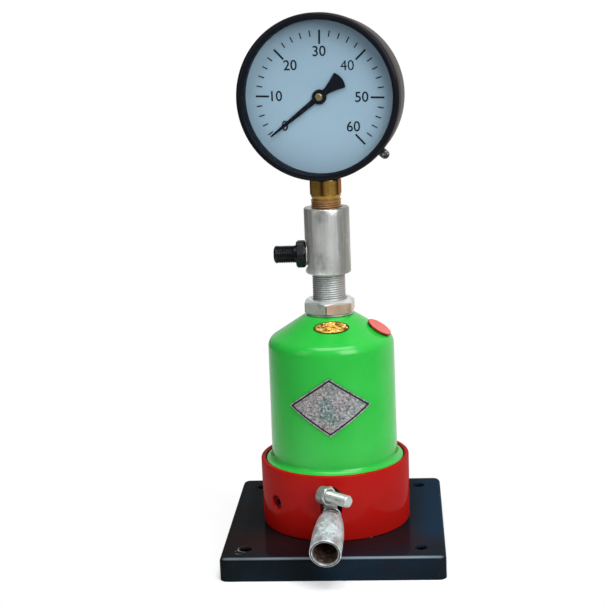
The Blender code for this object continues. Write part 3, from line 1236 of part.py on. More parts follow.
def gauge_case(make, paint):
    corner = arc(CASE_RADIUS - CASE_CORNER, CASE_BACK + CASE_CORNER, CASE_CORNER, 0.0, -90.0, CORNER_STEPS)
    case = make.turned("gauge_case", [(CASE_RADIUS, CASE_FRONT), *corner, (0.0, CASE_BACK)], paint,
                       LARGE_STEPS)
    solidify(case, CASE_SHEET)
    cut(case, make.cylinder("stem_hole_cutter", STEM_NECK_RADIUS + HOLE_GAP,
                            CASE_RADIUS - CASE_SHEET - CUT_OVERRUN, CASE_RADIUS + CUT_OVERRUN,
                            rotation=(math.radians(90.0), 0.0, 0.0)))
    cut(case, make.cylinder("blowout_cutter", BLOWOUT_RADIUS + HOLE_GAP, CASE_BACK - CUT_OVERRUN,
                            CASE_BACK + CASE_SHEET + CUT_OVERRUN, location=(0.0, BLOWOUT_RISE, 0.0)))
    for place in case_screw_places():
        cut(case, make.cylinder("case_screw_cutter", CASE_SCREW_DIAMETER / 2 + HOLE_GAP,
                                CASE_BACK - CUT_OVERRUN, CASE_BACK + CASE_SHEET + CUT_OVERRUN,
                                steps=TINY_STEPS, location=place))


def case_screws(make, steel):
    seat = CASE_BACK - SEAT_GAP
    radius = CASE_SCREW_DIAMETER / 2
    head = CASE_SCREW_HEAD_DIAMETER / 2
    for number, place in enumerate(case_screw_places(), start=1):
        make.turned(f"case_screw_{number}", [
            (0.0, seat + CASE_SCREW_LENGTH), (radius, seat + CASE_SCREW_LENGTH), (radius, seat), (head, seat),
            (head, seat - CASE_SCREW_HEAD / 2), (head / 2, seat - CASE_SCREW_HEAD),
            (0.0, seat - CASE_SCREW_HEAD)], steel, TINY_STEPS, location=place)


def blowout_plug(make, rubber):
    outside = CASE_BACK - SEAT_GAP
    inside = CASE_BACK + CASE_SHEET + SEAT_GAP
    back = outside - BLOWOUT_HEAD_THICKNESS
    front = inside + BLOWOUT_HEAD_THICKNESS
    make.turned("blowout_plug", [
        (0.0, front), (BLOWOUT_RADIUS, front), (BLOWOUT_HEAD_RADIUS, inside), (BLOWOUT_RADIUS, inside),
        (BLOWOUT_RADIUS, outside), (BLOWOUT_HEAD_RADIUS, outside), (BLOWOUT_RADIUS, back), (0.0, back)],
        rubber, SMALL_STEPS, location=(0.0, BLOWOUT_RISE, 0.0))


def glass_front():
    return CASE_FRONT + SEAT_GAP + GLASS_THICKNESS


def gauge_bezel(make, paint):
    rounding = arc(BEZEL_RADIUS - BEZEL_ROUNDING, BEZEL_FRONT - BEZEL_ROUNDING, BEZEL_ROUNDING,
                   90.0, 0.0, CORNER_STEPS)
    lip_back = glass_front() + SEAT_GAP
    inner = CASE_RADIUS + SEAT_GAP
    make.turned("gauge_bezel", [
        *rounding, (BEZEL_RADIUS, BEZEL_BACK), (inner, BEZEL_BACK), (inner, lip_back),
        (BEZEL_SIGHT_RADIUS, lip_back), (BEZEL_FACE_RADIUS, BEZEL_FRONT)], paint, LARGE_STEPS, closed=True)


def gauge_glass(make, glass):
    radius = CASE_RADIUS - SEAT_GAP
    back = CASE_FRONT + SEAT_GAP
    make.cylinder("gauge_glass", radius, back, glass_front(), glass, steps=LARGE_STEPS)


def gauge_dial(make, white):
    disc = arc(0.0, 0.0, DIAL_RADIUS, 0.0, 360.0 - 360.0 / LARGE_STEPS, LARGE_STEPS - 1)
    hole = arc(0.0, 0.0, DIAL_HOLE_RADIUS, 0.0, 360.0 - 360.0 / TINY_STEPS, TINY_STEPS - 1)
    make.plate("gauge_dial", [disc, hole], DIAL_FRONT - DIAL_THICKNESS, DIAL_FRONT, white)


def bourdon_tube(make, bronze):
    """A flat tube from the block's side, round the top and down the other side."""
    start_x = -BLOCK_WIDTH / 2 - SEAT_GAP
    start = 360.0 - math.degrees(math.acos(start_x / TUBE_RADIUS))
    inner = TUBE_RADIUS - TUBE_THICKNESS / 2
    outer = TUBE_RADIUS + TUBE_THICKNESS / 2
    outline = (arc(0.0, 0.0, outer, start, TUBE_END_ANGLE, TUBE_ARC_STEPS)
               + arc(0.0, 0.0, inner, TUBE_END_ANGLE, start, TUBE_ARC_STEPS))
    tube = make.plate("bourdon_tube", [outline], TUBE_BACK, TUBE_FRONT, bronze)
    cut(tube, make.box("tube_root_cutter", (start_x, -outer - CUT_OVERRUN, TUBE_BACK - CUT_OVERRUN),
                       (BLOCK_WIDTH, -outer + BLOCK_HEIGHT, TUBE_FRONT + CUT_OVERRUN)))


def bourdon_tip(make, brass):
    start = TUBE_END_ANGLE - math.degrees(SEAT_GAP / TUBE_RADIUS)
    inner = TUBE_RADIUS - TIP_THICKNESS / 2
    outer = TUBE_RADIUS + TIP_THICKNESS / 2
    outline = (arc(0.0, 0.0, outer, start, start - TIP_SPAN, CORNER_STEPS)
               + arc(0.0, 0.0, inner, start - TIP_SPAN, start, CORNER_STEPS))
    tip = make.plate("bourdon_tip", [outline], TUBE_BACK + TUBE_EDGE, TIP_TAB_FRONT, brass)
    angle = math.radians(start - TIP_SPAN / 2)
    root = Vector((TUBE_RADIUS * math.cos(angle), TUBE_RADIUS * math.sin(angle)))
    far = Vector((LINK_FAR_X, LINK_FAR_Y))
    join(tip, make.plate("tip_tab_tool", [stadium(root, far, TIP_TAB_WIDTH / 2)],
                         TIP_TAB_FRONT - TIP_TAB_THICKNESS, TIP_TAB_FRONT - WELD_DISTANCE))


def stadium(start, end, radius):
    """Outline of a bar with round ends between two points."""
    heading = math.degrees(math.atan2(end.y - start.y, end.x - start.x))
    return (arc(end.x, end.y, radius, heading - 90.0, heading + 90.0, CORNER_STEPS)
            + arc(start.x, start.y, radius, heading + 90.0, heading + 270.0, CORNER_STEPS))


def ring_outline(x, y, radius, steps=TINY_STEPS):
    return arc(x, y, radius, 0.0, 360.0 - 360.0 / steps, steps - 1)


def plate_outline():
    corner = PLATE_CORNER
    right = PLATE_HALF_WIDTH - corner
    top = PLATE_TOP - corner
    shoulder = PLATE_SHOULDER + corner
    neck = PLATE_NECK_HALF_WIDTH
    neck_top = PLATE_SHOULDER - PLATE_NECK_DROP
    return (arc(right, top, corner, 0.0, 90.0, CORNER_STEPS)
            + arc(-right, top, corner, 90.0, 180.0, CORNER_STEPS)
            + arc(-right, shoulder, corner, 180.0, 270.0, CORNER_STEPS)
            + [(-neck, neck_top), (-neck, PLATE_BOTTOM), (neck, PLATE_BOTTOM), (neck, neck_top)]
            + arc(right, shoulder, corner, 270.0, 360.0, CORNER_STEPS))


def sector_pivot():
    return (0.0, -GEAR_MODULE * (PINION_TEETH + SECTOR_TEETH_FULL_TURN) / 2)


def movement_plates(make, brass):
    pivot_x, pivot_y = sector_pivot()
    hole = ARBOR_RADIUS + ARBOR_GAP
    holes = [ring_outline(0.0, 0.0, hole), ring_outline(pivot_x, pivot_y, hole)]
    back_top = BACK_PLATE_BACK + PLATE_THICKNESS
    back = make.plate("movement_back_plate", [plate_outline(), *holes], BACK_PLATE_BACK, back_top, brass)
    low = PLATE_SHOULDER + PILLAR_RADIUS + SEAT_GAP
    side = PLATE_HALF_WIDTH - PILLAR_RADIUS - 2 * SEAT_GAP
    high = PLATE_TOP - PILLAR_RADIUS - SEAT_GAP
    for x, y in ((-side, low), (side, low), (0.0, high)):
        join(back, make.cylinder("pillar_tool", PILLAR_RADIUS, back_top - PLATE_THICKNESS / 2,
                                 FRONT_PLATE_BACK - SEAT_GAP, steps=TINY_STEPS, location=(x, y, 0.0)))
    front_top = FRONT_PLATE_BACK + PLATE_THICKNESS
    front = make.plate("movement_front_plate", [plate_outline(), *holes], FRONT_PLATE_BACK, front_top, brass)
    dial_back = DIAL_FRONT - DIAL_THICKNESS - SEAT_GAP
    for side_x in (-1, 1):
        post = (side_x * DIAL_POST_SPREAD, DIAL_POST_HEIGHT, 0.0)
        join(front, make.cylinder("dial_post_tool", DIAL_POST_RADIUS, front_top - PLATE_THICKNESS / 2,
                                  dial_back, steps=TINY_STEPS, location=post))


def tooth(pitch_radius, middle):
    """Corners of one gear tooth about an angle in degrees: root, tip, tip, root."""
    pitch = math.pi * GEAR_MODULE
    half_root = math.degrees(TOOTH_THICKNESS_SHARE * pitch / 2 * (1 + TOOTH_TIP_SHARE) / pitch_radius)
    half_tip = math.degrees(TOOTH_THICKNESS_SHARE * pitch / 2 * TOOTH_TIP_SHARE / pitch_radius)
    root = pitch_radius - TOOTH_DEDENDUM_SHARE * GEAR_MODULE
    tip = pitch_radius + TOOTH_ADDENDUM_SHARE * GEAR_MODULE
    corners = ((root, -half_root), (tip, -half_tip), (tip, half_tip), (root, half_root))
    return [(radius * math.cos(math.radians(middle + turn)), radius * math.sin(math.radians(middle + turn)))
            for radius, turn in corners]


def sector_rest_direction():
    """Direction of the sector's middle at rest, in degrees; it meshes straight up at mid scale."""
    travel = (POINTER_TURN / 2 - POINTER_REST) * PINION_TEETH / SECTOR_TEETH_FULL_TURN
    return 90.0 - travel


def sector_gear(make, brass):
    """Origin on its arbor."""
    radius = GEAR_MODULE * SECTOR_TEETH_FULL_TURN / 2
    step = 360.0 / SECTOR_TEETH_FULL_TURN
    middle = sector_rest_direction()
    outline = []
    for index in range(SECTOR_TEETH):
        outline += tooth(radius, middle + (index - (SECTOR_TEETH - 1) / 2) * step)
    outline += arc(0.0, 0.0, SECTOR_HUB_RADIUS, middle + 90.0, middle + 270.0, CORNER_STEPS)
    front = SECTOR_BACK + GEAR_THICKNESS
    gear = make.plate("sector_gear", [outline], SECTOR_BACK, front, brass)
    tail = tail_end()
    join(gear, make.plate("sector_tail_tool", [stadium(Vector((0.0, 0.0)), tail, TAIL_WIDTH / 2)],
                          SECTOR_BACK + 2 * WELD_DISTANCE, front - 2 * WELD_DISTANCE))
    pin_top = front + SEAT_GAP + LINK_THICKNESS
    join(gear, make.cylinder("tail_pin_tool", ARBOR_RADIUS, SECTOR_BACK + GEAR_THICKNESS / 2, pin_top,
                             steps=TINY_STEPS, location=(tail.x, tail.y, 0.0)))
    join(gear, make.cylinder("sector_arbor_tool", ARBOR_RADIUS, BACK_PLATE_BACK,
                             FRONT_PLATE_BACK + PLATE_THICKNESS, steps=TINY_STEPS))


def tail_end():
    angle = math.radians(TAIL_REST_ANGLE)
    return Vector((TAIL_LENGTH * math.cos(angle), TAIL_LENGTH * math.sin(angle)))


def movement_link(make, steel):
    """Origin on the tail's pin; the far end lies behind the tube's tip."""
    pivot_x, pivot_y = sector_pivot()
    tail = tail_end()
    far = Vector((LINK_FAR_X - pivot_x - tail.x, LINK_FAR_Y - pivot_y - tail.y))
    start = Vector((0.0, 0.0))
    hole = ARBOR_RADIUS + ARBOR_GAP
    back = SECTOR_BACK + GEAR_THICKNESS + SEAT_GAP
    make.plate("movement_link", [stadium(start, far, LINK_WIDTH / 2), ring_outline(0.0, 0.0, hole),
                                 ring_outline(far.x, far.y, hole)], back, back + LINK_THICKNESS, steel)


def pointer_direction():
    """Direction of the pointer at rest, in degrees."""
    return 90.0 + DIAL_TURN + POINTER_TURN / 2 - POINTER_REST


def pinion_arbor(make, steel):
    radius = GEAR_MODULE * PINION_TEETH / 2
    step = 360.0 / PINION_TEETH
    mesh_turn = (sector_rest_direction() - 90.0) * SECTOR_TEETH_FULL_TURN / PINION_TEETH
    half_pitch = step / 2 if SECTOR_TEETH % 2 else 0.0
    outline = []
    for index in range(PINION_TEETH):
        outline += tooth(radius, -90.0 - mesh_turn + half_pitch + index * step)
    pinion = make.plate("pinion_arbor", [outline], PINION_BACK, PINION_BACK + PINION_LENGTH, steel)
    top = POINTER_BACK + POINTER_THICKNESS + SEAT_GAP + POINTER_CAP_HEIGHT / 2
    join(pinion, make.cylinder("pinion_shaft_tool", ARBOR_RADIUS, BACK_PLATE_BACK, top, steps=TINY_STEPS))


def hairspring(make, bronze):
    count = HAIRSPRING_TURNS * SPRING_POINTS
    points = []
    for index in range(count + 1):
        angle = 2.0 * math.pi * index / SPRING_POINTS
        radius = HAIRSPRING_START_RADIUS + (HAIRSPRING_END_RADIUS - HAIRSPRING_START_RADIUS) * index / count
        points.append((radius * math.cos(angle), radius * math.sin(angle), HAIRSPRING_HEIGHT))
    make.wire("hairspring", points, HAIRSPRING_WIRE, bronze, resolution=0)


def pointer(make, black):
    tip = POINTER_TIP_WIDTH / 2
    root = POINTER_ROOT_WIDTH / 2
    tail = POINTER_TAIL_WIDTH / 2
    outline = [(POINTER_LENGTH, -tip), (POINTER_LENGTH, tip), (POINTER_HUB_RADIUS, root)]
    outline += [(-POINTER_HUB_RADIUS, root), (-POINTER_TAIL + root, tail)]
    outline += [(-POINTER_TAIL, tail / 2), (-POINTER_TAIL, -tail / 2)]
    outline += [(-POINTER_TAIL + root, -tail), (-POINTER_HUB_RADIUS, -root), (POINTER_HUB_RADIUS, -root)]
    front = POINTER_BACK + POINTER_THICKNESS
    turn = {"rotation": (0.0, 0.0, math.radians(pointer_direction()))}
    hand = make.plate("pointer", [outline], POINTER_BACK, front, black, **turn)
    join(hand, make.cylinder("pointer_hub_tool", POINTER_HUB_RADIUS, POINTER_BACK - SEAT_GAP / 2,
                             front + SEAT_GAP / 2, **turn))
    cut(hand, make.cylinder("pointer_hole_cutter", ARBOR_RADIUS + ARBOR_GAP, POINTER_BACK - CUT_OVERRUN,
                            front + CUT_OVERRUN, steps=TINY_STEPS))


def pointer_cap(make, brass):
    back = POINTER_BACK + POINTER_THICKNESS + SEAT_GAP
    front = back + POINTER_CAP_HEIGHT
    recess = ARBOR_RADIUS + ARBOR_GAP
    recess_top = back + POINTER_CAP_HEIGHT / 2 + SEAT_GAP
    make.turned("pointer_cap", [
        (0.0, front), (POINTER_CAP_RADIUS - SEAT_GAP, front), (POINTER_CAP_RADIUS, front - SEAT_GAP),
        (POINTER_CAP_RADIUS, back), (recess, back), (recess, recess_top), (0.0, recess_top)],
        brass, SMALL_STEPS)


def seal_parts(make, zinc):
    angle = math.radians(SEAL_ANGLE)
    foot = CASE_RADIUS + SEAT_GAP
    far = foot + SEAL_LUG_REACH - SEAL_LUG_WIDTH / 2
    half = SEAL_LUG_WIDTH / 2
    outline = [(foot, half), (foot, -half), *arc(far, 0.0, half, -90.0, 90.0, CORNER_STEPS)]
    hole = SEAL_SCREW_DIAMETER / 2
    place = {"rotation": (0.0, 0.0, angle)}
    lug_back = SEAL_LUG_FRONT - SEAL_LUG_THICKNESS
    make.plate("seal_lug", [outline, ring_outline(far, 0.0, hole + HOLE_GAP)], lug_back, SEAL_LUG_FRONT,
               zinc, **place)
    seat = SEAL_LUG_FRONT + SEAT_GAP
    head = SEAL_SCREW_HEAD_DIAMETER / 2
    front = seat + SEAL_SCREW_HEAD
    make.turned("seal_screw", [
        (0.0, front), (head - SEAT_GAP, front), (head, front - SEAT_GAP), (head, seat), (hole, seat),
        (hole, seat - SEAL_SCREW_LENGTH), (0.0, seat - SEAL_SCREW_LENGTH)], zinc, TINY_STEPS,
        location=(far * math.cos(angle), far * math.sin(angle), 0.0))


def front_reach():
    """How far the socket's rim reaches in front of the pump's axis."""
    forward = math.cos(math.radians(SOCKET_DROOP)) * math.cos(math.radians(SOCKET_AZIMUTH))
    across = math.sqrt(1.0 - forward ** 2)
    rim = SOCKET_LENGTH * forward + (SOCKET_RADIUS - SOCKET_RIM) * across
    edge = (SOCKET_LENGTH - SOCKET_RIM) * forward + SOCKET_RADIUS * across
    return SOCKET_BACK_Y + max(rim, edge)


def finish_parts(parts):
    """Evaluates each part's modifiers and shades its round faces smooth."""
    depsgraph = bpy.context.evaluated_depsgraph_get()
    meshes = [(item, bpy.data.meshes.new_from_object(item.evaluated_get(depsgraph)))
              for item in parts.objects]
    for item, mesh in meshes:
        item.modifiers.clear()
        item.data = mesh
        mesh.shade_smooth()
        mesh.set_sharp_from_angle(angle=math.radians(30.0))


def main():
    clear_scene()
    parts = make_collection(ROOT_PARTS)
    cutters = make_collection(ROOT_CUTTERS)
    green = make_material("green_paint", (0.03, 0.55, 0.08), 0.25, 0.0)
    red = make_material("red_paint", (0.50, 0.012, 0.01), 0.25, 0.0)
    red_plastic = make_material("red_plastic", (0.60, 0.05, 0.02), 0.4, 0.0)
    black_paint = make_material("black_paint", (0.008, 0.012, 0.018), 0.25, 0.0)
    black_oxide = make_material("black_oxide", (0.015, 0.015, 0.017), 0.45, 0.8)
    steel = make_material("turned_steel", (0.55, 0.55, 0.53), 0.3, 1.0)
    zinc = make_material("zinc_plate", (0.62, 0.64, 0.62), 0.35, 1.0)
    iron = make_material("cast_iron", (0.10, 0.10, 0.10), 0.6, 0.8)
    brass = make_material("brass", (0.50, 0.33, 0.10), 0.35, 1.0)
    bronze = make_material("phosphor_bronze", (0.45, 0.25, 0.12), 0.4, 1.0)
    copper = make_material("copper", (0.60, 0.28, 0.16), 0.4, 1.0)
    rubber = make_material("black_rubber", (0.02, 0.02, 0.02), 0.8, 0.0)
    foil = make_material("gold_foil", (0.60, 0.42, 0.10), 0.3, 1.0)
    plate_metal = make_material("etched_aluminium", (0.45, 0.45, 0.48), 0.35, 1.0)
    glass = make_material("clear_glass", (0.9, 0.95, 0.95), 0.05, 0.0, 0.35)
    white = make_material("dial_white", (0.80, 0.84, 0.88), 0.5, 0.0)

    shift = (front_reach() - TRAY_DEPTH / 2) / 2
    root = make_empty("tester_frame", None, (0.0, shift, 0.0))
    make = Builder(parts, cutters, root)

    base_tray(make, black_paint)
    base_ring(make, red)
    ring_screws(make, red)
    tray_screws(make, zinc)

    pump_body(make, iron)
    barrel(make, steel)
    barrel_screw(make, zinc)
    tappet(make, steel)
    plunger(make, steel)
    spring_seat(make, "lower_spring_seat", TAPPET_RADIUS - TAPPET_WALL - RUNNING_GAP,
                PLUNGER_NECK_RADIUS + RUNNING_GAP, LOWER_SEAT_BOTTOM, steel)
    springs(make, steel)
    delivery_valve_parts(make, steel, copper)
    valve_holder(make, steel)
    lock_nut(make, steel)
    lock_washer(make, steel)

    tank_cover(make, green)
    tank_gasket(make, rubber)
    filler(make, red_plastic, brass)
    nameplate(make, plate_metal)
    oval_plate(make, foil)

    fulcrum_pin(make, steel)
    lever = make.under(make_empty("lever_pivot", root, (LEVER_X, PIVOT_Y, PIVOT_Z)))
    rocker_arm(lever, steel)
    lever_pins(lever, steel)
    lever_socket(lever, zinc)
    clamp_parts(lever, zinc)

    connector_body(make, steel)
    outlet_parts(make, black_oxide, copper)

    gauge_seal(make, copper)
    gauge_frame = make_empty("gauge_frame", root, (0.0, 0.0, GAUGE_HEIGHT), radial(GAUGE_AZIMUTH))
    gauge = make.under(gauge_frame)
    gauge_stem(make, gauge, brass)
    gauge_case(gauge, black_paint)
    case_screws(gauge, zinc)
    blowout_plug(gauge, rubber)
    gauge_bezel(gauge, black_paint)
    gauge_glass(gauge, glass)
    gauge_dial(gauge, white)
    seal_parts(gauge, zinc)
    bourdon_tube(gauge, bronze)
    bourdon_tip(gauge, brass)
    movement_plates(gauge, brass)
    hairspring(gauge, bronze)
    pinion_arbor(gauge, steel)
    pointer(gauge, black_paint)
    pointer_cap(gauge, brass)
    pivot_x, pivot_y = sector_pivot()
    sector_frame = make_empty("sector_pivot", gauge_frame, (pivot_x, pivot_y, 0.0))
    sector_gear(make.under(sector_frame), brass)
    tail = tail_end()
    link_frame = make_empty("link_pivot", sector_frame, (tail.x, tail.y, 0.0))
    movement_link(make.under(link_frame), steel)

    bpy.context.view_layer.update()
    finish_parts(parts)


if __name__ == "__main__":
    main()
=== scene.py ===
"""Looks of the diesel injector tester: fine surfaces, materials, stage, lamps and camera.

Lengths are in millimetres here and become metres in the meshes.
"""

import json
from math import cos, pi, radians, sin, sqrt, tan

import bmesh
import bpy
from mathutils import Matrix, Vector, noise

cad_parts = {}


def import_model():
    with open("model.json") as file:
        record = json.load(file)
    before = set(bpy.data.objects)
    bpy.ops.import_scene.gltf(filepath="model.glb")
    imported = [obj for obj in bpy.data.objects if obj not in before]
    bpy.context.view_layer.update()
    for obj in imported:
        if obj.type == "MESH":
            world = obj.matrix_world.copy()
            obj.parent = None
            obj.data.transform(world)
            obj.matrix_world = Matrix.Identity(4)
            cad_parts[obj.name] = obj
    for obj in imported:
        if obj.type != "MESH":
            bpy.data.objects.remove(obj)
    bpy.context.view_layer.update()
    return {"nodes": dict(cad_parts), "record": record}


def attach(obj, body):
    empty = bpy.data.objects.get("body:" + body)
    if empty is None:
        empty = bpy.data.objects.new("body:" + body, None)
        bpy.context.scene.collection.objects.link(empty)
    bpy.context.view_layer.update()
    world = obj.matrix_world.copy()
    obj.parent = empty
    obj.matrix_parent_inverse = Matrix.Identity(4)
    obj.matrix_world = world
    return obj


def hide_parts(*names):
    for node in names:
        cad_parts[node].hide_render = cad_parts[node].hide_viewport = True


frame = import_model()

MM = 0.001
SHIFT = 12.747  # from the frame's origin back to the pump's axis
CONE = 33  # slope of the bell's cone, in degrees
CONE_TOP, CONE_START = 157.7, 16.8  # height of the cone's flat top, and its radius
TURNED = (8, 8, 2200)  # stretch of noise into the marks of a lathe tool
BENCH_HOLE_X, BENCH_HOLE_Y = 56.8, 60.5


# Frames

def turn(axis, degrees):
    return Matrix.Rotation(radians(degrees), 4, axis)


def move(x, y, z):
    return Matrix.Translation((x * MM, y * MM, z * MM))


ROOT = move(0, SHIFT, 0)
GAUGE = ROOT @ move(0, 0, 301.5) @ turn("Z", -9.5) @ turn("X", 90)
LEVER = ROOT @ move(-0.9, -37.5, 44)
FULCRUM = LEVER @ turn("Z", 90) @ turn("X", 90)
SOCKET = LEVER @ move(0.6, -21, -6.8) @ turn("Z", -3.3) @ turn("X", 103)
CLAMP = LEVER @ move(-2.4, -23, 7) @ turn("Z", 50) @ turn("X", 90)
ROLLER_DROP = 41.221 - 44
ROLLER = LEVER @ move(0, 37.5, ROLLER_DROP) @ turn("Z", 90) @ turn("X", 90)
FILLER = ROOT @ turn("Z", 80) @ move(0, -32.6, 147.439) @ turn("X", CONE)
OUTLET = ROOT @ move(0, 0, 198.3) @ turn("Z", -90) @ turn("X", 90)
BLOW_HOLE = GAUGE @ move(0, 24, 0)
CASE_SCREWS = [GAUGE @ move(x, -41, 0) for x in (-6.5, 6.5)]
RING_SCREWS = [ROOT @ move(0, 0, 36.5) @ turn("Z", azimuth) @ turn("X", 90) for azimuth in (-50, 90, 200)]
TRAY_SCREWS = [ROOT @ move(46.5 * sin(a), -46.5 * cos(a), 0) for a in map(radians, (30, 150, 270))]


# Shader nodes

class Nodes:
    """Short ways of adding nodes to a shader tree."""

    def __init__(self, tree):
        self.tree = tree

    def add(self, kind, values=None, **settings):
        """Adds a node; an input gets a plain value or another node's output."""
        node = self.tree.nodes.new("ShaderNode" + kind)
        for name, value in settings.items():
            setattr(node, name, value)
        for slot, value in (values or {}).items():
            if isinstance(value, bpy.types.NodeSocket):
                self.tree.links.new(value, node.inputs[slot])
            else:
                node.inputs[slot].default_value = value
        return node

    def axes(self, place):
        return list(self.add("SeparateXYZ", {0: place}).outputs)

    def ramp(self, value, low, high, first=0, last=1):
        return self.add("MapRange", {"Value": value, "From Min": low, "From Max": high, "To Min": first,
            "To Max": last}).outputs[0]

    def fade(self, value, low, high, first=0, last=1):
        """A ramp between two lengths."""
        return self.ramp(value, low * MM, high * MM, first, last)

    def math(self, kind, first, second=0):
        return self.add("Math", {0: first, 1: second}, operation=kind).outputs[0]

    def times(self, first, second):
        return self.math("MULTIPLY", first, second)

    def plus(self, first, second):
        return self.math("ADD", first, second)

    def most(self, first, second):
        return self.math("MAXIMUM", first, second)

    def off(self, value, middle):
        """Distance of a value from a length."""
        return self.math("ABSOLUTE", self.plus(value, -middle * MM))

    def far(self, x, y):
        return self.math("POWER", self.plus(self.times(x, x), self.times(y, y)), 0.5)

    def shown(self, mirrored):
        """1 for the camera and through glass, and a share of 1 in reflections."""
        rays = self.add("LightPath").outputs
        direct = self.most(rays["Is Camera Ray"], rays["Is Transmission Ray"])
        return self.most(direct, self.times(rays["Is Glossy Ray"], mirrored))

    def mixed(self, share, first, second):
        return self.add("MixShader", {0: share, 1: first, 2: second}).outputs[0]


class Look(Nodes):
    """A Principled material whose colour, roughness and bump come from noise in the piece's own frame."""

    def __init__(self, name, colour, rough, metal=0, coat=0, specular=0.5, gloss=0.06):
        self.material = bpy.data.materials.new(name)
        self.material.use_nodes = True
        super().__init__(self.material.node_tree)
        self.shader = self.tree.nodes["Principled BSDF"]
        self.place = self.add("TexCoord").outputs["Object"]
        self.colour, self.rough, self.height = (*colour, 1), None, None
        self.material.diffuse_color = self.colour
        for slot, value in (("Base Color", self.colour), ("Roughness", rough), ("Metallic", metal),
                            ("Coat Weight", coat), ("Coat Roughness", gloss), ("Specular IOR Level", specular)):
            self.set(slot, value)

    def set(self, slot, value):
        self.shader.inputs[slot].default_value = value

    def join(self, value, *slots):
        for slot in slots:
            self.tree.links.new(value, self.shader.inputs[slot])

    def noise(self, scale, detail=3, stretch=None, distort=0):
        place = self.add("Mapping", {"Vector": self.place, "Scale": stretch}).outputs[0] if stretch else self.place
        return self.add("TexNoise", {"Vector": place, "Scale": scale, "Detail": detail,
            "Distortion": distort}).outputs["Fac"]

    def tint(self, value, colour):
        """Mixes a colour over what is there, by a value from 0 to 1."""
        self.colour = self.add("Mix", {"Factor": value, "A": self.colour, "B": (*colour, 1)},
            data_type="RGBA").outputs["Result"]
        self.join(self.colour, "Base Color")

    def vary(self, scale, colour, low=0.35, high=0.65, share=1, detail=3, stretch=None):
        """Mixes a colour over what is there, in patches of noise."""
        self.tint(self.ramp(self.noise(scale, detail, stretch), low, high, 0, share), colour)

    def roughen(self, least, most, scale, detail=3, stretch=None):
        made = self.ramp(self.noise(scale, detail, stretch), 0.3, 0.7, least, most)
        self.rough = made if self.rough is None else self.most(self.rough, made)
        self.join(self.rough, "Roughness")

    def relief(self, height, value):
        """Adds relief of a height by a value from 0 to 1."""
        part = self.times(value, height * MM)
        self.height = part if self.height is None else self.plus(self.height, part)

    def bump(self, height, scale, detail=3, stretch=None):
        self.relief(height, self.noise(scale, detail, stretch))

    def reach(self):
        """Distance of a point from the frame's local Z, and its height."""
        x, y, z = self.axes(self.place)
        return self.far(x, y), z

    def done(self):
        node = self.add("Bump", {"Strength": 1, "Distance": 1, "Height": self.height})
        self.join(node.outputs[0], "Normal", "Coat Normal")
        return self.material


# Materials

def scaled(colour, factor):
    return tuple(min(1, c * factor) for c in colour)


def paint(name, colour, pale, rough, peel, coat, dirt=0.35, gloss=0.1):
    """Enamel; its shine is a thin coat over a body with little shine of its own."""
    look = Look(name, colour, 0.6, coat=coat, specular=0, gloss=gloss)
    look.vary(28, pale, 0.42, 0.7, 0.35)
    look.vary(9, scaled(colour, 0.72), 0.5, 0.75, dirt, 4)
    look.vary(520, scaled(colour, 0.8), 0.64, 0.8, 0.3, 1)
    look.roughen(rough * 1.2, rough * 2, 35, 4)
    look.bump(peel * 6, 110, 2)
    look.bump(peel, 420, 2)
    return look.done()


def metal(name, colour, rough, dark, grain, stain, coarse=0, lines=0, across=None):
    """Bare metal; lines is the depth of tool marks and across their stretch."""
    look = Look(name, colour, rough, 0.8)
    look.set("Specular Tint", (*(c ** 0.5 for c in colour), 1))
    look.vary(38, dark, 0.45, 0.72, stain, 5)
    look.vary(160, scaled(colour, 1.25), 0.55, 0.75, 0.5)
    look.vary(700, dark, 0.6, 0.72, stain, 2)
    look.roughen(rough * 0.75, rough * 1.5, 60, 4)
    if lines:
        look.bump(lines, 1, 4, across)
        look.roughen(rough * 0.7, rough * 1.35, 1, 4, across)
        look.vary(1, dark, 0.5, 0.72, stain * 0.6, 4, across)
    if coarse:
        look.bump(coarse, 130, 3)
    look.bump(grain, 900, 2)
    return look.done()


def layered(look, colours, roughs, bumps):
    """A look made only of layers of noise."""
    for layer in colours:
        look.vary(*layer)
    for layer in roughs:
        look.roughen(*layer)
    for layer in bumps:
        look.bump(*layer)
    return look.done()


def thread_look(name, colour, dark, major, depth, rough=0.42, above=None, plain=None, sides=None):
    """Metal of a thread, dark down in its grooves; above a height it is plain metal; sides are the colours of painted
    shade on its left and right.
    """
    look = Look(name, colour, rough, 0.7)
    look.vary(60, scaled(colour, 0.7), 0.42, 0.7, 0.6, 4)
    look.vary(240, scaled(colour, 1.2), 0.52, 0.72, 0.5, 2)
    far, level = look.reach()
    look.tint(look.fade(far, major - depth * 0.2, major - depth * 0.8, 0, 0.6), dark)
    if above is not None:
        look.tint(look.fade(level, above - 0.2, above), plain)
    # Painted shade on the left and right sides, browner on the right.
    if sides:
        x = look.axes(look.place)[0]
        look.tint(look.fade(x, -0.25 * major, -0.95 * major, 0, 0.75), sides[0])
        look.tint(look.fade(x, 0.35 * major, 0.95 * major, 0, 0.6), sides[1])
    look.roughen(rough * 0.8, rough * 1.5, 90, 3)
    look.bump(0.006, 700, 2)
    return look.done()


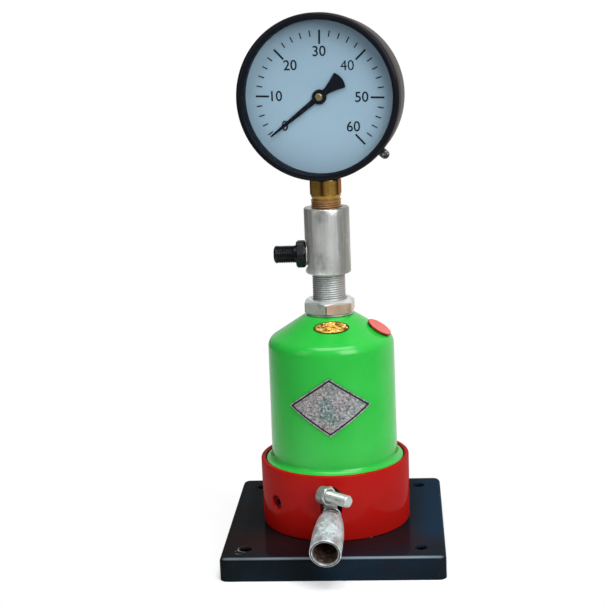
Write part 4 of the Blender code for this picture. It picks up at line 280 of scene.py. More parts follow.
def nut_look():
    """Plated nut: grey on one facet, with a painted warm reflection on the next, a painted highlight on its chamfers
    and painted shade along the corner between.
    """
    look = Look("plated_nut", (0.57, 0.61, 0.54), 0.3, 0.6)
    look.vary(70, (0.58, 0.44, 0.43), 0.5, 0.66, 0.6, 4)
    y, z = look.axes(look.place)[1:]
    # Painted warm reflection on the facet to one side.
    look.tint(look.times(look.fade(y, -0.3, 1.5), look.ramp(look.noise(60, 4), 0.3, 0.5, 0.5, 1)), (0.62, 0.37, 0.26))
    look.vary(55, (0.4, 0.37, 0.22), 0.5, 0.62, 0.5, 2)
    # Painted highlight on the chamfer.
    look.tint(look.fade(z, 165.6, 166.6, 0, 0.8), (0.66, 0.71, 0.72))
    look.vary(150, (0.2, 0.19, 0.17), 0.56, 0.68, 0.5, 3)
    # Painted shade along the front corner, below the chamfer.
    corner = look.fade(look.off(y, 0), 0.8, 0.3, 0, 0.85)
    look.tint(look.times(corner, look.fade(z, 166.2, 165)), (0.1, 0.075, 0.055))
    look.roughen(0.22, 0.4, 80, 4)
    look.bump(0.03, 160, 3)
    return look.done()


def foil_look():
    """Embossed gold foil, brown between its raised patches."""
    look = Look("gold_foil", (0.66, 0.37, 0.06), 0.3, 0.8)
    raised = look.noise(330, 3, (0.75, 1, 1.25), 1.2)
    look.tint(look.ramp(raised, 0.54, 0.44), (0.2, 0.075, 0.012))
    look.vary(420, (0.92, 0.7, 0.26), 0.56, 0.64, 0.9, 2)
    look.roughen(0.22, 0.42, 150, 3)
    look.relief(0.12, look.ramp(raised, 0.44, 0.56))
    look.bump(0.01, 900, 2)
    return look.done()


def glass_look():
    look = Look("window_glass", (0.03, 0.045, 0.06), 0.04)
    look.set("Alpha", 0.1)
    return layered(look, [(20, (0.05, 0.07, 0.09), 0.4, 0.6, 0.5)], [(0.03, 0.07, 50)], [(0.002, 25, 1)])


def tray_look():
    """Black enamel with painted reflections (red before the ring, blue to its right and in patches), a painted
    highlight on one bench hole's lip with a scuff beside it, and a painted highlight along its front edge.
    """
    look = Look("tray_enamel", (0.0036, 0.0052, 0.0058), 0.6, coat=0.06, specular=0, gloss=0.1)
    look.vary(22, (0.006, 0.0115, 0.015), 0.42, 0.7, 0.8)
    # Painted reflections: blue patches, then reddish ones.
    look.vary(7, (0.005, 0.02, 0.038), 0.52, 0.7, 0.7, 2)
    look.vary(30, (0.012, 0.0065, 0.006), 0.5, 0.72, 0.6)
    look.vary(420, (0.012, 0.02, 0.03), 0.66, 0.8, 0.4, 1)
    look.roughen(0.45, 0.7, 30, 5)
    look.bump(0.02, 60, 2)
    look.bump(0.002, 500, 2)
    x, y, z = look.axes(look.place)
    # Painted reflection of the red ring on the top face in front of it.
    ring_reflection = look.times(look.fade(look.far(x, y), 104, 56, 0, 0.9), look.fade(y, -18, -46))
    look.tint(look.times(ring_reflection, look.fade(z, 14.2, 15.1)), (0.021, 0.005, 0.0055))
    # Painted reflection of something blue on the right of the top.
    blue_reflection = look.times(look.fade(x, 48, 62, 0, 0.9), look.fade(y, -62, -30))
    look.tint(blue_reflection, (0.003, 0.0185, 0.04))
    # Painted highlight along the front top edge, broken up by noise.
    edge = look.times(look.fade(look.off(y, -76.7), 2.2, 0.6), look.fade(z, 14, 14.9))
    highlight_breakup = look.ramp(look.noise(40, 4, (0.4, 1, 1)), 0.36, 0.6, 0.45, 1)
    look.tint(look.times(edge, highlight_breakup), (0.19, 0.235, 0.275))
    # The first ring is a painted highlight on the left lip of a front bench hole; the second is a scuff beside it.
    for middle_x, middle_y, radius, width in ((-BENCH_HOLE_X, -BENCH_HOLE_Y, 5.2, 0.8), (-59.8, -65.5, 3.6, 0.5)):
        dx, dy = look.plus(x, -middle_x * MM), look.plus(y, -middle_y * MM)
        line = look.fade(look.off(look.far(dx, dy), radius), width, width * 0.3)
        patch = look.ramp(look.noise(420, 3), 0.48, 0.56)
        look.tint(look.times(look.times(line, look.fade(dx, 1.5, -2)), patch), (0.2, 0.21, 0.22))
    return look.done()


def worn_steel():
    """Dull steel, drawn along its length, with painted shade at both sides and a few knocks."""
    look = Look("connector_steel", (0.76, 0.77, 0.73), 0.36, 0.8)
    look.vary(20, (0.37, 0.37, 0.35), 0.42, 0.66, 0.5, 5)
    x = look.axes(look.place)[0]
    # Painted shade on the left and right sides.
    look.tint(look.fade(x, -6, -14, 0, 0.55), (0.26, 0.26, 0.235))
    look.tint(look.fade(x, 3, 11, 0, 0.9), (0.25, 0.245, 0.215))
    drawn = (1, 1, 0.05)
    return layered(look, [(260, (0.24, 0.24, 0.22), 0.5, 0.66, 0.55, 3, drawn),
        (330, (0.78, 0.82, 0.84), 0.56, 0.7, 0.55, 3, drawn), (130, (0.3, 0.29, 0.26), 0.52, 0.7, 0.7, 5, (1, 1, 0.6)),
        (360, (0.7, 0.72, 0.72), 0.62, 0.74, 0.5, 3)], [(0.26, 0.48, 260, 3, drawn), (0.26, 0.48, 45, 4)],
        [(0.012, 260, 3, drawn), (0.02, 240, 3)])


def banded_brass():
    """Brass hexagon, with painted shade towards its corners and short tool marks across."""
    look = Look("stem_brass", (0.42, 0.245, 0.05), 0.28, 0.85)
    look.set("Specular Tint", (0.45, 0.25, 0.07, 1))
    look.vary(90, (0.3, 0.16, 0.03), 0.42, 0.66, 0.8, 4, (1, 1, 0.35))
    look.vary(200, (0.6, 0.38, 0.11), 0.56, 0.74, 0.5, 3, (1, 1, 0.5))
    # Painted shade along the corners of the hexagon.
    look.tint(look.fade(look.reach()[0], 9.95, 10.65, 0, 0.9), (0.07, 0.03, 0.009))
    return layered(look, [], [(0.22, 0.42, 60, 4)], [(0.004, 1, 4, TURNED), (0.004, 900, 2)])


def bezel_look():
    """Bezel enamel, with a painted warm-brown highlight along its outer edge."""
    look = Look("bezel_enamel", (0.0055, 0.0072, 0.0112), 0.5, coat=0.16, specular=0, gloss=0.16)
    far, level = look.reach()
    # Painted highlight along the outer edge, in patches.
    side = look.times(look.fade(far, 52.3, 52.9), look.fade(level, 18, 15))
    look.tint(look.times(side, look.ramp(look.noise(40, 4), 0.35, 0.6, 0.3, 1)), (0.06, 0.04, 0.033))
    return layered(look, [(30, (0.009, 0.008, 0.009), 0.45, 0.7, 0.6)], [(0.4, 0.65, 60, 4)],
        [(0.02, 120, 2), (0.003, 420, 2)])


def socket_look():
    """Mottled zinc with dark lines at its shoulders, brown and dark inside the bore."""
    look = Look("socket_zinc", (0.54, 0.57, 0.59), 0.44, 0.55)
    look.vary(70, (0.42, 0.4, 0.37), 0.46, 0.62, 0.8, 5)
    look.vary(150, (0.78, 0.86, 0.92), 0.52, 0.62, 0.8, 4)
    look.vary(230, (0.26, 0.26, 0.24), 0.48, 0.64, 0.75, 5, (1, 1, 0.7))
    look.vary(520, (0.17, 0.17, 0.155), 0.5, 0.68, 0.6, 4)
    look.roughen(0.34, 0.6, 120, 4)
    look.bump(0.22, 150, 4)
    look.bump(0.08, 380, 3)
    radius, level = look.reach()
    for height, wide in ((8.4, 1.5), (3.6, 1.8)):
        line = look.fade(look.off(level, height), wide, wide * 0.4, 0, 0.9)
        look.tint(look.times(line, look.ramp(look.noise(140, 3), 0.42, 0.52)), (0.06, 0.06, 0.058))
    deep = look.times(look.fade(level, 43.2, 41.5), look.fade(level, 9.8, 10.3))
    inside = look.times(deep, look.fade(radius, 8.5, 8.1))
    look.tint(inside, (0.075, 0.048, 0.036))
    look.tint(look.times(inside, look.ramp(look.noise(330, 3), 0.5, 0.62)), (0.26, 0.17, 0.12))
    groove = look.fade(look.off(radius, 9.05), 0.5, 0.28)
    look.tint(look.times(look.fade(level, 42.7, 43), groove), (0.06, 0.06, 0.055))
    return look.done()


green = paint("green_enamel", (0.0155, 0.405, 0.037), (0.036, 0.51, 0.07), 0.28, 0.008, 0.8, 0.45, 0.2)
red = paint("red_enamel", (0.355, 0.0068, 0.005), (0.47, 0.013, 0.009), 0.26, 0.006, 0.12, 0.55, 0.12)
# A shaded copy of the red enamel: painted shade for the ring screws down in their holes.
red_painted_shade = paint("red_enamel_shaded", (0.095, 0.008, 0.018), (0.13, 0.01, 0.02), 0.34, 0.004, 0.04)
black = paint("black_enamel", (0.006, 0.01, 0.016), (0.01, 0.017, 0.028), 0.2, 0.004, 0.25)
gauge_black = paint("gauge_enamel", (0.007, 0.0065, 0.007), (0.02, 0.014, 0.012), 0.34, 0.004, 0.45, 0.35, 0.26)
ink = paint("printing_ink", (0.015, 0.021, 0.031), (0.024, 0.031, 0.042), 0.5, 0.002, 0, 0.1)
pointer_black = paint("pointer_enamel", (0.003, 0.0036, 0.0055), (0.005, 0.005, 0.008), 0.42, 0.001, 0, 0.1)
rim_ink = paint("foil_edge", (0.03, 0.012, 0.004), (0.05, 0.02, 0.008), 0.5, 0.002, 0, 0.1)
cap_red = paint("cap_plastic", (0.6, 0.13, 0.11), (0.74, 0.25, 0.22), 0.36, 0.012, 0.25, 0.5, 0.3)
# Dark red for the cap's rim: a painted shadow edge round the cap.
cap_painted_shade = paint("cap_edge_painted_shade", (0.16, 0.014, 0.012), (0.2, 0.03, 0.02), 0.5, 0.004, 0, 0.2)
steel = metal("turned_steel", (0.58, 0.58, 0.56), 0.42, (0.28, 0.27, 0.25), 0.01, 0.45, 0, 0.006, TURNED)
zinc = metal("zinc_plate", (0.52, 0.56, 0.53), 0.34, (0.17, 0.17, 0.15), 0.03, 0.75, 0.09)
forged = metal("forged_steel", (0.44, 0.44, 0.43), 0.46, (0.14, 0.13, 0.11), 0.03, 0.7, 0.1)
brass = metal("machined_brass", (0.46, 0.27, 0.06), 0.28, (0.13, 0.06, 0.014), 0.006, 0.7, 0, 0.004, TURNED)
dial_brass = metal("pointer_brass", (0.52, 0.42, 0.2), 0.3, (0.22, 0.15, 0.06), 0.006, 0.6)
oxide = metal("black_oxide", (0.026, 0.027, 0.03), 0.25, (0.006, 0.006, 0.006), 0.008, 0.4)
copper = metal("copper", (0.52, 0.5, 0.46), 0.4, (0.36, 0.26, 0.18), 0.006, 0.4)
bronze = metal("phosphor_bronze", (0.45, 0.26, 0.12), 0.34, (0.22, 0.12, 0.05), 0.006, 0.5)
iron = metal("cast_iron", (0.16, 0.155, 0.15), 0.6, (0.05, 0.045, 0.04), 0.04, 0.6, 0.15)
plate_silver = metal("etched_aluminium", (0.55, 0.54, 0.56), 0.34, (0.34, 0.33, 0.36), 0.008, 0.5, 0, 0.003,
    (900, 8, 8))
holder_steel = thread_look("threaded_steel", (0.5, 0.53, 0.52), (0.15, 0.155, 0.15), 11, 0.45,
    sides=((0.15, 0.15, 0.145), (0.34, 0.29, 0.26)))
brass_thread = thread_look("brass_thread", (0.4, 0.215, 0.085), (0.23, 0.105, 0.045), 10, 0.5, 0.34, 234.7,
    (0.44, 0.27, 0.06))
rubber = layered(Look("rubber", (0.018, 0.018, 0.019), 0.75), [(60, (0.035, 0.035, 0.035), 0.4, 0.7, 0.8)],
    [(0.6, 0.9, 90)], [(0.02, 500)])
dial_paint = layered(Look("dial_paint", (0.415, 0.61, 0.75), 0.6, specular=0),
    [(14, (0.44, 0.635, 0.775), 0.35, 0.65, 0.8, 2), (900, (0.24, 0.36, 0.46), 0.6, 0.78, 0.3, 1)], [(0.5, 0.7, 80)],
    [(0.003, 700)])
# Grimy plated metal, with painted highlights as sparse bright specks.
seal_metal = layered(Look("seal_metal", (0.085, 0.09, 0.09), 0.34, 0.8), [(420, (0.72, 0.75, 0.73), 0.54, 0.6, 0.95, 2),
    (330, (0.008, 0.008, 0.01), 0.5, 0.57, 0.9, 2)], [(0.25, 0.5, 300, 2)], [(0.25, 380, 3)])
# Brushed plate with a faint rainbow of anodising, fine speckle and rubbed patches.
BRUSHED = (1, 3, (160, 160, 4200))
plate_metal = layered(Look("nameplate_metal", (0.34, 0.325, 0.33), 0.36, 0.7),
    [(48, (0.47, 0.37, 0.35), 0.44, 0.6, 0.85), (44, (0.15, 0.27, 0.24), 0.46, 0.62, 0.85, 2),
    (620, (0.62, 0.6, 0.62), 0.52, 0.6, 0.75, 3), (760, (0.07, 0.07, 0.08), 0.52, 0.6, 0.75, 4)],
    [(0.28, 0.48, *BRUSHED)], [(0.004, *BRUSHED)])
glass = glass_look()
gold = foil_look()
nut_steel = nut_look()
tray_enamel = tray_look()
connector_steel = worn_steel()
brass_bands = banded_brass()
bezel_black = bezel_look()
socket_zinc = socket_look()


# Mesh tools

def shade(data, sharp=32):
    data.shade_smooth()
    data.set_sharp_from_angle(angle=radians(sharp))


def cover(data, material):
    data.materials.clear()
    data.materials.append(material)


def evaluated(item):
    return bpy.data.meshes.new_from_object(item.evaluated_get(bpy.context.evaluated_depsgraph_get()))


def placed(name, data, place):
    item = bpy.data.objects.new(name, data)
    bpy.context.scene.collection.objects.link(item)
    item.matrix_world = place
    return item


def piece(name, data, material, place, sharp=32):
    item = placed(name, data, place)
    cover(data, material)
    shade(data, sharp)
    return item


def finished(mesh, name, material, place, sharp=32):
    """Makes an object of an edited mesh."""
    data = bpy.data.meshes.new(name)
    mesh.to_mesh(data)
    mesh.free()
    return piece(name, data, material, place, sharp)


def closed_up(mesh, *rest, **more):
    """Makes an object of an edited mesh whose faces have to look outward first."""
    bmesh.ops.recalc_face_normals(mesh, faces=mesh.faces)
    return finished(mesh, *rest, **more)


def put(item, slot, *nodes, body="stand"):
    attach(item, body)
    if nodes:
        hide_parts(*nodes)


def arc(x, y, radius, start, end, steps):
    angles = [radians(start + (end - start) * i / steps) for i in range(steps + 1)]
    return [(x + radius * cos(a), y + radius * sin(a)) for a in angles]


def softened(points, closed=False, steps=4):
    """Rounds a profile's corners; a point is (x, y) or (x, y, radius)."""
    made = []
    count = len(points)
    for i, point in enumerate(points):
        if len(point) == 2 or point[2] == 0 or (not closed and i in (0, count - 1)):
            made.append(point[:2])
            continue
        here = Vector(point[:2])
        before = Vector(points[i - 1][:2]) - here
        after = Vector(points[(i + 1) % count][:2]) - here
        reach = min(point[2], before.length * 0.49, after.length * 0.49)
        first, last = here + before.normalized() * reach, here + after.normalized() * reach
        for k in range(steps + 1):
            t = k / steps
            made.append(tuple(first * (1 - t) ** 2 + here * 2 * t * (1 - t) + last * t ** 2))
    return made


def rod(radius, high, low, top=0, foot=0):
    """Profile of a rod, from its axis out and back; top and foot round its edges."""
    return [(0, high), (radius, high, top), (radius, low, foot), (0, low)]


def hoop(outer, inner, high, low, outside, inside):
    """Profile of a washer; outside and inside round its edges."""
    return [(outer, high, outside), (outer, low, outside), (inner, low, inside), (inner, high, inside)]


def hex_shape(flats, blunt):
    """Limits a radius to a hexagon with blunted corners."""
    def shape(radius, height, angle):
        wide = flats / 2 / cos(radians(angle % 60 - 30))
        return min(radius, wide, flats / sqrt(3) - blunt)
    return shape


def thread(major, first, last, pitch, depth, per=8, inner=None):
    """Rows of a profile between two heights, and the shape that cuts a helical groove into them."""
    count = round(abs(first - last) / pitch * per)
    low, high = sorted((first, last))

    def shape(radius, height, angle):
        if inner is not None and inner(radius, height, angle) < radius - 1e-6:
            return inner(radius, height, angle)
        if abs(radius - major) > 1e-3 or not low <= height <= high:
            return radius
        wave = 0.5 + 0.5 * cos(2 * pi * (height / pitch - angle / 360))
        fade = min(1, (height - low) / (pitch * 0.6), (high - height) / (pitch * 0.6))
        return radius - depth * wave ** 0.8 * max(0, fade)
    return [(major, first + (last - first) * k / count) for k in range(count + 1)], shape


def lathe(name, profile, material, place, segments, closed=False, shape=None, sharp=32, wobble=None):
    """Turns (radius, height) points about local Z; shape(radius, height, degrees) may change a radius."""
    mesh = bmesh.new()
    rows = []
    for radius, height in profile:
        if radius < 1e-6:
            rows.append([mesh.verts.new((0, 0, height * MM))])
            continue
        row = []
        for k in range(segments):
            angle = 360 * k / segments
            value = shape(radius, height, angle) if shape else radius
            spot = Vector((value * cos(radians(angle)), value * sin(radians(angle)), height))
            if wobble:
                spot += spot.normalized() * noise.noise(spot * wobble[0]) * wobble[1]
            row.append(mesh.verts.new(spot * MM))
        rows.append(row)
    pairs = list(zip(rows, rows[1:]))
    if closed:
        pairs.append((rows[-1], rows[0]))
    for upper, lower in pairs:
        for k in range(segments):
            corners = [upper[k % len(upper)], lower[k % len(lower)], lower[(k + 1) % len(lower)],
                upper[(k + 1) % len(upper)]]
            unique = list(dict.fromkeys(corners))
            if len(unique) > 2:
                mesh.faces.new(unique)
    return closed_up(mesh, name, material, place, sharp)


def turned(name, points, material, place, segments, slot, *nodes, body="stand", steps=4, **more):
    """A piece turned from a profile with rounded corners; a profile that starts off the axis is closed."""
    closed = points[0][0] > 0
    item = lathe(name, softened(points, closed, steps), material, place, segments, closed, **more)
    put(item, slot, *nodes, body=body)


def cylinder(radius, high, low, place, segments, top=0, foot=0):
    """A cylinder to cut or join with."""
    return lathe("cylinder", softened(rod(radius, high, low, top, foot)), steel, place, segments)


def slab(name, outline, low, high, material, place, edge=0, steps=2):
    """An extruded outline with its long edges rounded."""
    mesh = bmesh.new()
    face = mesh.faces.new([mesh.verts.new((x * MM, y * MM, low * MM)) for x, y in outline])
    made = bmesh.ops.extrude_face_region(mesh, geom=[face])
    top = [v for v in made["geom"] if isinstance(v, bmesh.types.BMVert)]
    bmesh.ops.translate(mesh, verts=top, vec=(0, 0, (high - low) * MM))
    bmesh.ops.recalc_face_normals(mesh, faces=mesh.faces)
    if edge:
        rim = [e for e in mesh.edges if abs(e.verts[0].co.z - e.verts[1].co.z) < 1e-7]
        bmesh.ops.bevel(mesh, geom=rim, offset=edge * MM, segments=steps, affect="EDGES", profile=0.5)
    return finished(mesh, name, material, place)


def block(name, low, high, material, place, edge, steps=3):
    mesh = bmesh.new()
    size = Vector(high) - Vector(low)
    middle = (Vector(high) + Vector(low)) / 2
    bmesh.ops.create_cube(mesh, size=1, matrix=Matrix.Translation(middle * MM) @ Matrix.Diagonal((*(size * MM), 1)))
    bmesh.ops.bevel(mesh, geom=mesh.edges[:], offset=edge * MM, segments=steps, affect="EDGES", profile=0.5)
    return finished(mesh, name, material, place)


def driver_slot(half_length, half_width, low, high, place):
    """A block that cuts the slot for a screwdriver."""
    return block("driver_slot", (-half_length, -half_width, low), (half_length, half_width, high), steel, place, 0.05,
        1)


def bridge(mesh, first, second):
    """Joins two loops of vertices with faces."""
    for k in range(len(first)):
        n = (k + 1) % len(first)
        mesh.faces.new((first[k], first[n], second[n], second[k]))


def sheet(name, rings, front, back, material, sharp=32, hollow=False, capped=False):
    """A thin sheet over rings of points, from its rim in; front and back say where a point lies."""
    mesh = bmesh.new()
    sides = [[[mesh.verts.new(side(x, y)) for x, y in ring] for ring in rings] for side in (front, back)]
    for rows in sides:
        for outer, inner in zip(rows, rows[1:]):
            bridge(mesh, outer, inner)
        if capped:
            mesh.faces.new(rows[-1])
    bridge(mesh, sides[1][0], sides[0][0])
    if hollow:
        bridge(mesh, sides[0][-1], sides[1][-1])
    bmesh.ops.remove_doubles(mesh, verts=mesh.verts, dist=1e-7)
    return closed_up(mesh, name, material, ROOT, sharp)


def bake(item):
    """Makes an object's modifiers real."""
    world = item.matrix_world.copy()
    data = evaluated(item)
    item.modifiers.clear()
    item.data = data
    item.matrix_world = world


def combine(item, tools, kind="DIFFERENCE", sharp=32):
    """Cuts or joins with tools, which are then removed."""
    bpy.context.view_layer.update()
    for tool in tools:
        modifier = item.modifiers.new(tool.name, "BOOLEAN")
        modifier.object = tool
        modifier.operation = kind
        modifier.solver = "EXACT"
    keep = item.data.materials[0]
    bake(item)
    for tool in tools:
        bpy.data.objects.remove(tool)
    cover(item.data, keep)
    shade(item.data, sharp)
    return item


def solid(item, thickness, sharp):
    modifier = item.modifiers.new("sheet", "SOLIDIFY")
    modifier.thickness = thickness * MM
    modifier.offset = -1
    modifier.use_even_offset = True
    bpy.context.view_layer.update()
    bake(item)
    shade(item.data, sharp)
    return item


def merge(first, *others):
    """Joins loose pieces that share a material and frame into one mesh object."""
    bpy.context.view_layer.update()
    mesh = bmesh.new()
    for item in (first, *others):
        spare = item.data.copy()
        spare.transform(first.matrix_world.inverted() @ item.matrix_world)
        mesh.from_mesh(spare)
        bpy.data.meshes.remove(spare)
    mesh.to_mesh(first.data)
    mesh.free()
    for item in others:
        bpy.data.objects.remove(item)
    shade(first.data)
    return first


# Base

def rounded_rectangle(width, depth, radius):
    x, y = width / 2 - radius, depth / 2 - radius
    corners = ((x, y, 0), (-x, y, 90), (-x, -y, 180), (x, -y, 270))
    return [spot for across, along, start in corners for spot in arc(across, along, radius, start, start + 90, 10)]


def base_tray():
    width, depth, height, corner, edge = 145, 155, 15.3, 5, 2.8
    mesh = bmesh.new()
    rows = []
    for inset, level in [(0, 0), (0, 4), (0, 8), (0, height - edge)] + [
            (edge * (1 - cos(radians(a))), height - edge + edge * sin(radians(a)))
            for a in range(15, 91, 15)]:
        outline = rounded_rectangle(width - 2 * inset, depth - 2 * inset, corner - inset)
        rows.append([mesh.verts.new((x * MM, y * MM, level * MM)) for x, y in outline])
    for lower, upper in zip(rows, rows[1:]):
        bridge(mesh, lower, upper)
    mesh.faces.new(rows[-1])
    tray = solid(closed_up(mesh, "tray_shell", tray_enamel, ROOT, 25), 1.8, 25)
    lip = [(0, 17), (5.2, 17), (4.4, 15.35), (3.85, 15), (3.55, 14.5), (3.5, 14), (3.5, 12), (0, 12)]
    tools = [lathe("tray_hole", lip, steel, ROOT @ move(x, y, 0), 40) for x in (-BENCH_HOLE_X, BENCH_HOLE_X)
        for y in (-BENCH_HOLE_Y, BENCH_HOLE_Y)]
    tools += [cylinder(2.9, 17, 12, place, 24) for place in TRAY_SCREWS]
    put(combine(tray, tools, sharp=25), "black_paint", "base_tray")


def base_ring():
    ring = lathe("ring_casting", softened([(50.2, 60, 0.9), (50.15, 45), (49.8, 15.6, 0.9), (43.2, 15.6, 0.3),
        (43.2, 50, 0.2), (47.1, 50, 0.4), (47.1, 60, 0.9)], True, 5), red, ROOT, 192, True, sharp=40)
    width = 7
    slot = arc(0, 53.3 - width, width, 0, 180, 20) + arc(0, 30 + width, width, 180, 360, 20)
    hole = [(0, 52), (5.9, 52), (5.5, 50.2), (5, 49.6), (4.6, 49.1), (4.4, 48.4), (4.4, 40), (0, 40)]
    tools = [slab("ring_slot", slot, 36, 56, red, ROOT @ move(-0.9, 0, 0) @ turn("X", 90))]
    tools += [lathe("ring_hole", hole, red, place, 48) for place in RING_SCREWS]
    tools += [cylinder(2.8, 27.6, 14, place, 20) for place in TRAY_SCREWS]
    put(combine(ring, tools, sharp=40), "red_paint", "base_ring")


def ring_screws():
    outer, inner = 48.2, 39.2
    for number, place in enumerate(RING_SCREWS, 1):
        body = lathe(f"ring_screw_shape_{number}", softened(rod(4.1, outer, inner, 0.8, 0.4)), red_painted_shade, place, 48)
        combine(body, [slab("screw_key", arc(0, 0, 2.31, 0, 300, 5), outer - 3, outer + 2, red, place)])
        put(body, "red_paint", f"ring_screw_{number}")


def tray_screws():
    low, high, tip = 9.7, 13.2, 27.3
    rows, shape = thread(2.5, high + 0.4, tip - 0.6, 0.8, 0.3, 6, hex_shape(8, 0.1))
    profile = [(0, low), (3.6, low, 0.1), (4.6, low + 0.55), (4.6, high, 0.1), (2.5, high)] + rows + [
        (2, tip), (0, tip)]
    for number, place in enumerate(TRAY_SCREWS, 1):
        turned(f"tray_screw_shape_{number}", profile, zinc, place, 48, "zinc_plate", f"tray_screw_{number}",
            shape=shape)


# Tank

def bell():
    slope = tan(radians(CONE))
    bend, wall_x, foot_z = 8, 42.5, 59.5
    shoulder = arc(34.1, CONE_TOP - (34.1 - CONE_START) * slope - bend / cos(radians(CONE)), bend, 57, 0, 14)
    foot = arc(wall_x + 3.7, foot_z + 3.7, 3.7, 180, 270, 10)
    cone_x, (wall_top_x, wall_top_z) = shoulder[0][0], shoulder[-1]
    wall = [(wall_top_x + (wall_x - wall_top_x) * k / 12, wall_top_z + (foot_z + 3.7 - wall_top_z) * k / 12)
        for k in range(1, 12)]
    cone = [(17.9 + (cone_x - 17.9) * k / 6, CONE_TOP - (1.1 + (cone_x - 17.9) * k / 6) * slope) for k in range(6)]
    rim = arc(15.7, 155.2, 2.5, 90, 62, 4)
    profile = [(11.4, CONE_TOP), (13.5, CONE_TOP)] + rim + cone + shoulder + wall + foot + [(45.9, foot_z),
        (46.3, 59.35), (46.5, 59)]
    item = lathe("bell_shell", profile, green, ROOT, 192, sharp=50, wobble=(0.055, 0.16))
    put(solid(item, 1.85, 50), "green_paint", "tank_cover")
    turned("gasket_ring", hoop(46.5, 43.5, 57.2, 56.4, 0.2, 0), rubber, ROOT, 128, "black_rubber", "tank_gasket")


def nameplate():
    """Diamond plate wrapped round the bell, with its printed border."""
    low, high, middle = 42.8, 43.2, 104.3

    def diamond(width, height):
        corners = [(width / 2, 0), (0, height / 2), (-width / 2, 0), (0, -height / 2)]
        return [(ax + (bx - ax) * k / 16, middle + ay + (by - ay) * k / 16)
            for (ax, ay), (bx, by) in zip(corners, corners[1:] + corners[:1]) for k in range(16)]

    def wrapped(far):
        def place(x, y):
            angle = x / 42.9
            return Vector((far * sin(angle), -far * cos(angle), y)) * MM
        return place

    rings = [diamond(56.7 * share, 39 * share) for share in (1, 0.85, 0.7, 0.55, 0.4, 0.25, 0.1)]
    put(sheet("nameplate_sheet", rings, wrapped(high), wrapped(low), plate_metal, capped=True),
        "etched_aluminium", "nameplate")
    put(sheet("nameplate_border", [diamond(54.2, 37.3), diamond(50.4, 34.7)], wrapped(high + 0.04),
        wrapped(high - 0.02), ink, hollow=True), "black_paint")


def oval():
    """Embossed foil that follows the cone, with its dark edge."""
    slope = radians(CONE)
    radius = 24.3

    def lifted(lift, relief=0):
        def place(u, v):
            rise = lift + relief * noise.noise(Vector((u * 0.9, v * 0.9, 3)))
            angle = radians(4.5) + u / radius
            along = radius + v * cos(slope)
            far = along + sin(slope) * rise
            height = CONE_TOP - (along - CONE_START) * tan(slope) + cos(slope) * rise
            return Vector((far * sin(angle), -far * cos(angle), height)) * MM
        return place

    def rings(half_width, half_height, core):
        return [[(half_width * share * cos(a), half_height * share * sin(a))
            for a in (2 * pi * k / 72 for k in range(72))] for share in (1 - r / 10 * (1 - core) for r in range(11))]

    put(sheet("oval_foil", rings(11.2, 4.9, 0), lifted(0.6, 0.18), lifted(0.3), gold, 60), "gold_foil", "oval_plate")
    put(sheet("oval_rim", rings(11.75, 5.4, 0.93), lifted(0.66), lifted(0.3), rim_ink, 60, hollow=True), "gold_foil")


def filler_parts():
    turned("cap_disc", [(0, 2.2), (4, 2.25), (8.1, 2.3, 0.3), (8.6, 1.9, 0.3), (8.6, 0.95, 0.2), (5.8, 0.95),
        (5.8, -4.8, 0.5), (0, -4.8)], cap_red, FILLER, 96, "red_plastic", "filler_cap", body="cap")
    turned("cap_rim", [(8.6, 1.7, 0.1), (8.7, 1.5), (8.7, 1.1), (8.6, 0.95, 0.1), (8.3, 0.95), (8.3, 1.7)], cap_painted_shade,
        FILLER, 96, "red_plastic", body="cap")
    turned("strainer_cup", [(0, -11.4), (6.1, -11.4, 0.4), (6.1, 0.9), (7.2, 0.85, 0.1), (7.2, 0.3, 0.1), (6.7, 0.3),
        (6.7, -12, 0.8), (0, -12)], brass, FILLER, 48, "brass", "filler_strainer")


# Column

def lock_parts():
    turned("lock_washer_ring", hoop(15.6, 11.3, 159.1, 158, 0.3, 0.2), steel, ROOT, 96, "turned_steel", "lock_washer")
    low, high = 159.4, 168.3
    slope = [(14.4 + 3.8 * k / 16, high - 2.2 * k / 16) for k in range(17)]
    foot = [(18.2 - 2.2 * k / 8, low + 0.9 - 0.9 * k / 8) for k in range(9)]
    bore = [(12.2, low), (11.3, low + 0.9), (11.3, high - 0.9), (12.2, high)]
    turned("lock_nut_shape", slope + foot + bore, nut_steel, ROOT @ turn("Z", -95), 144, "turned_steel", "lock_nut",
        shape=hex_shape(31.4, 0.2), sharp=24)


def holder():
    low, high, major = 134.8, 192.2, 11
    rows, shape = thread(major, 186.5, 168, 1.5, 0.45, 10)
    turned("holder_stud", [(1.8, 150), (1.8, high), (10, high), (major, high - 1)] + rows +
        [(major, 160), (major, low + 1, 0.2), (10, low, 0.2), (7.9, low), (7.9, 150)], holder_steel, ROOT, 120,
        "turned_steel", "valve_holder", shape=shape)


def connector():
    low, high = 185.6, 229.3
    wall = [(15, high - 1 - k * (high - low - 2) / 10) for k in range(11)]
    profile = [(14.2, high), (14.75, high - 0.4)] + wall + [(14.75, low + 0.4), (14.2, low), (11.9, low, 0.2),
        (11.3, low + 0.6, 0.2), (11.3, 192.5), (2.5, 192.5), (2.5, 212.1), (10.3, 212.1), (10.3, high - 0.7),
        (11, high)]
    body = lathe("connector_shape", softened(profile), connector_steel, ROOT, 128, True, sharp=40)
    tools = [lathe("spot_face", [(0, 20), (10.7, 20), (10.6, 12.9), (0, 12.9)], steel, OUTLET, 64),
        cylinder(5.3, 20, 7.9, OUTLET, 40), cylinder(1.5, 20, 0, OUTLET, 20)]
    put(combine(body, tools, sharp=40), "turned_steel", "connector_body")


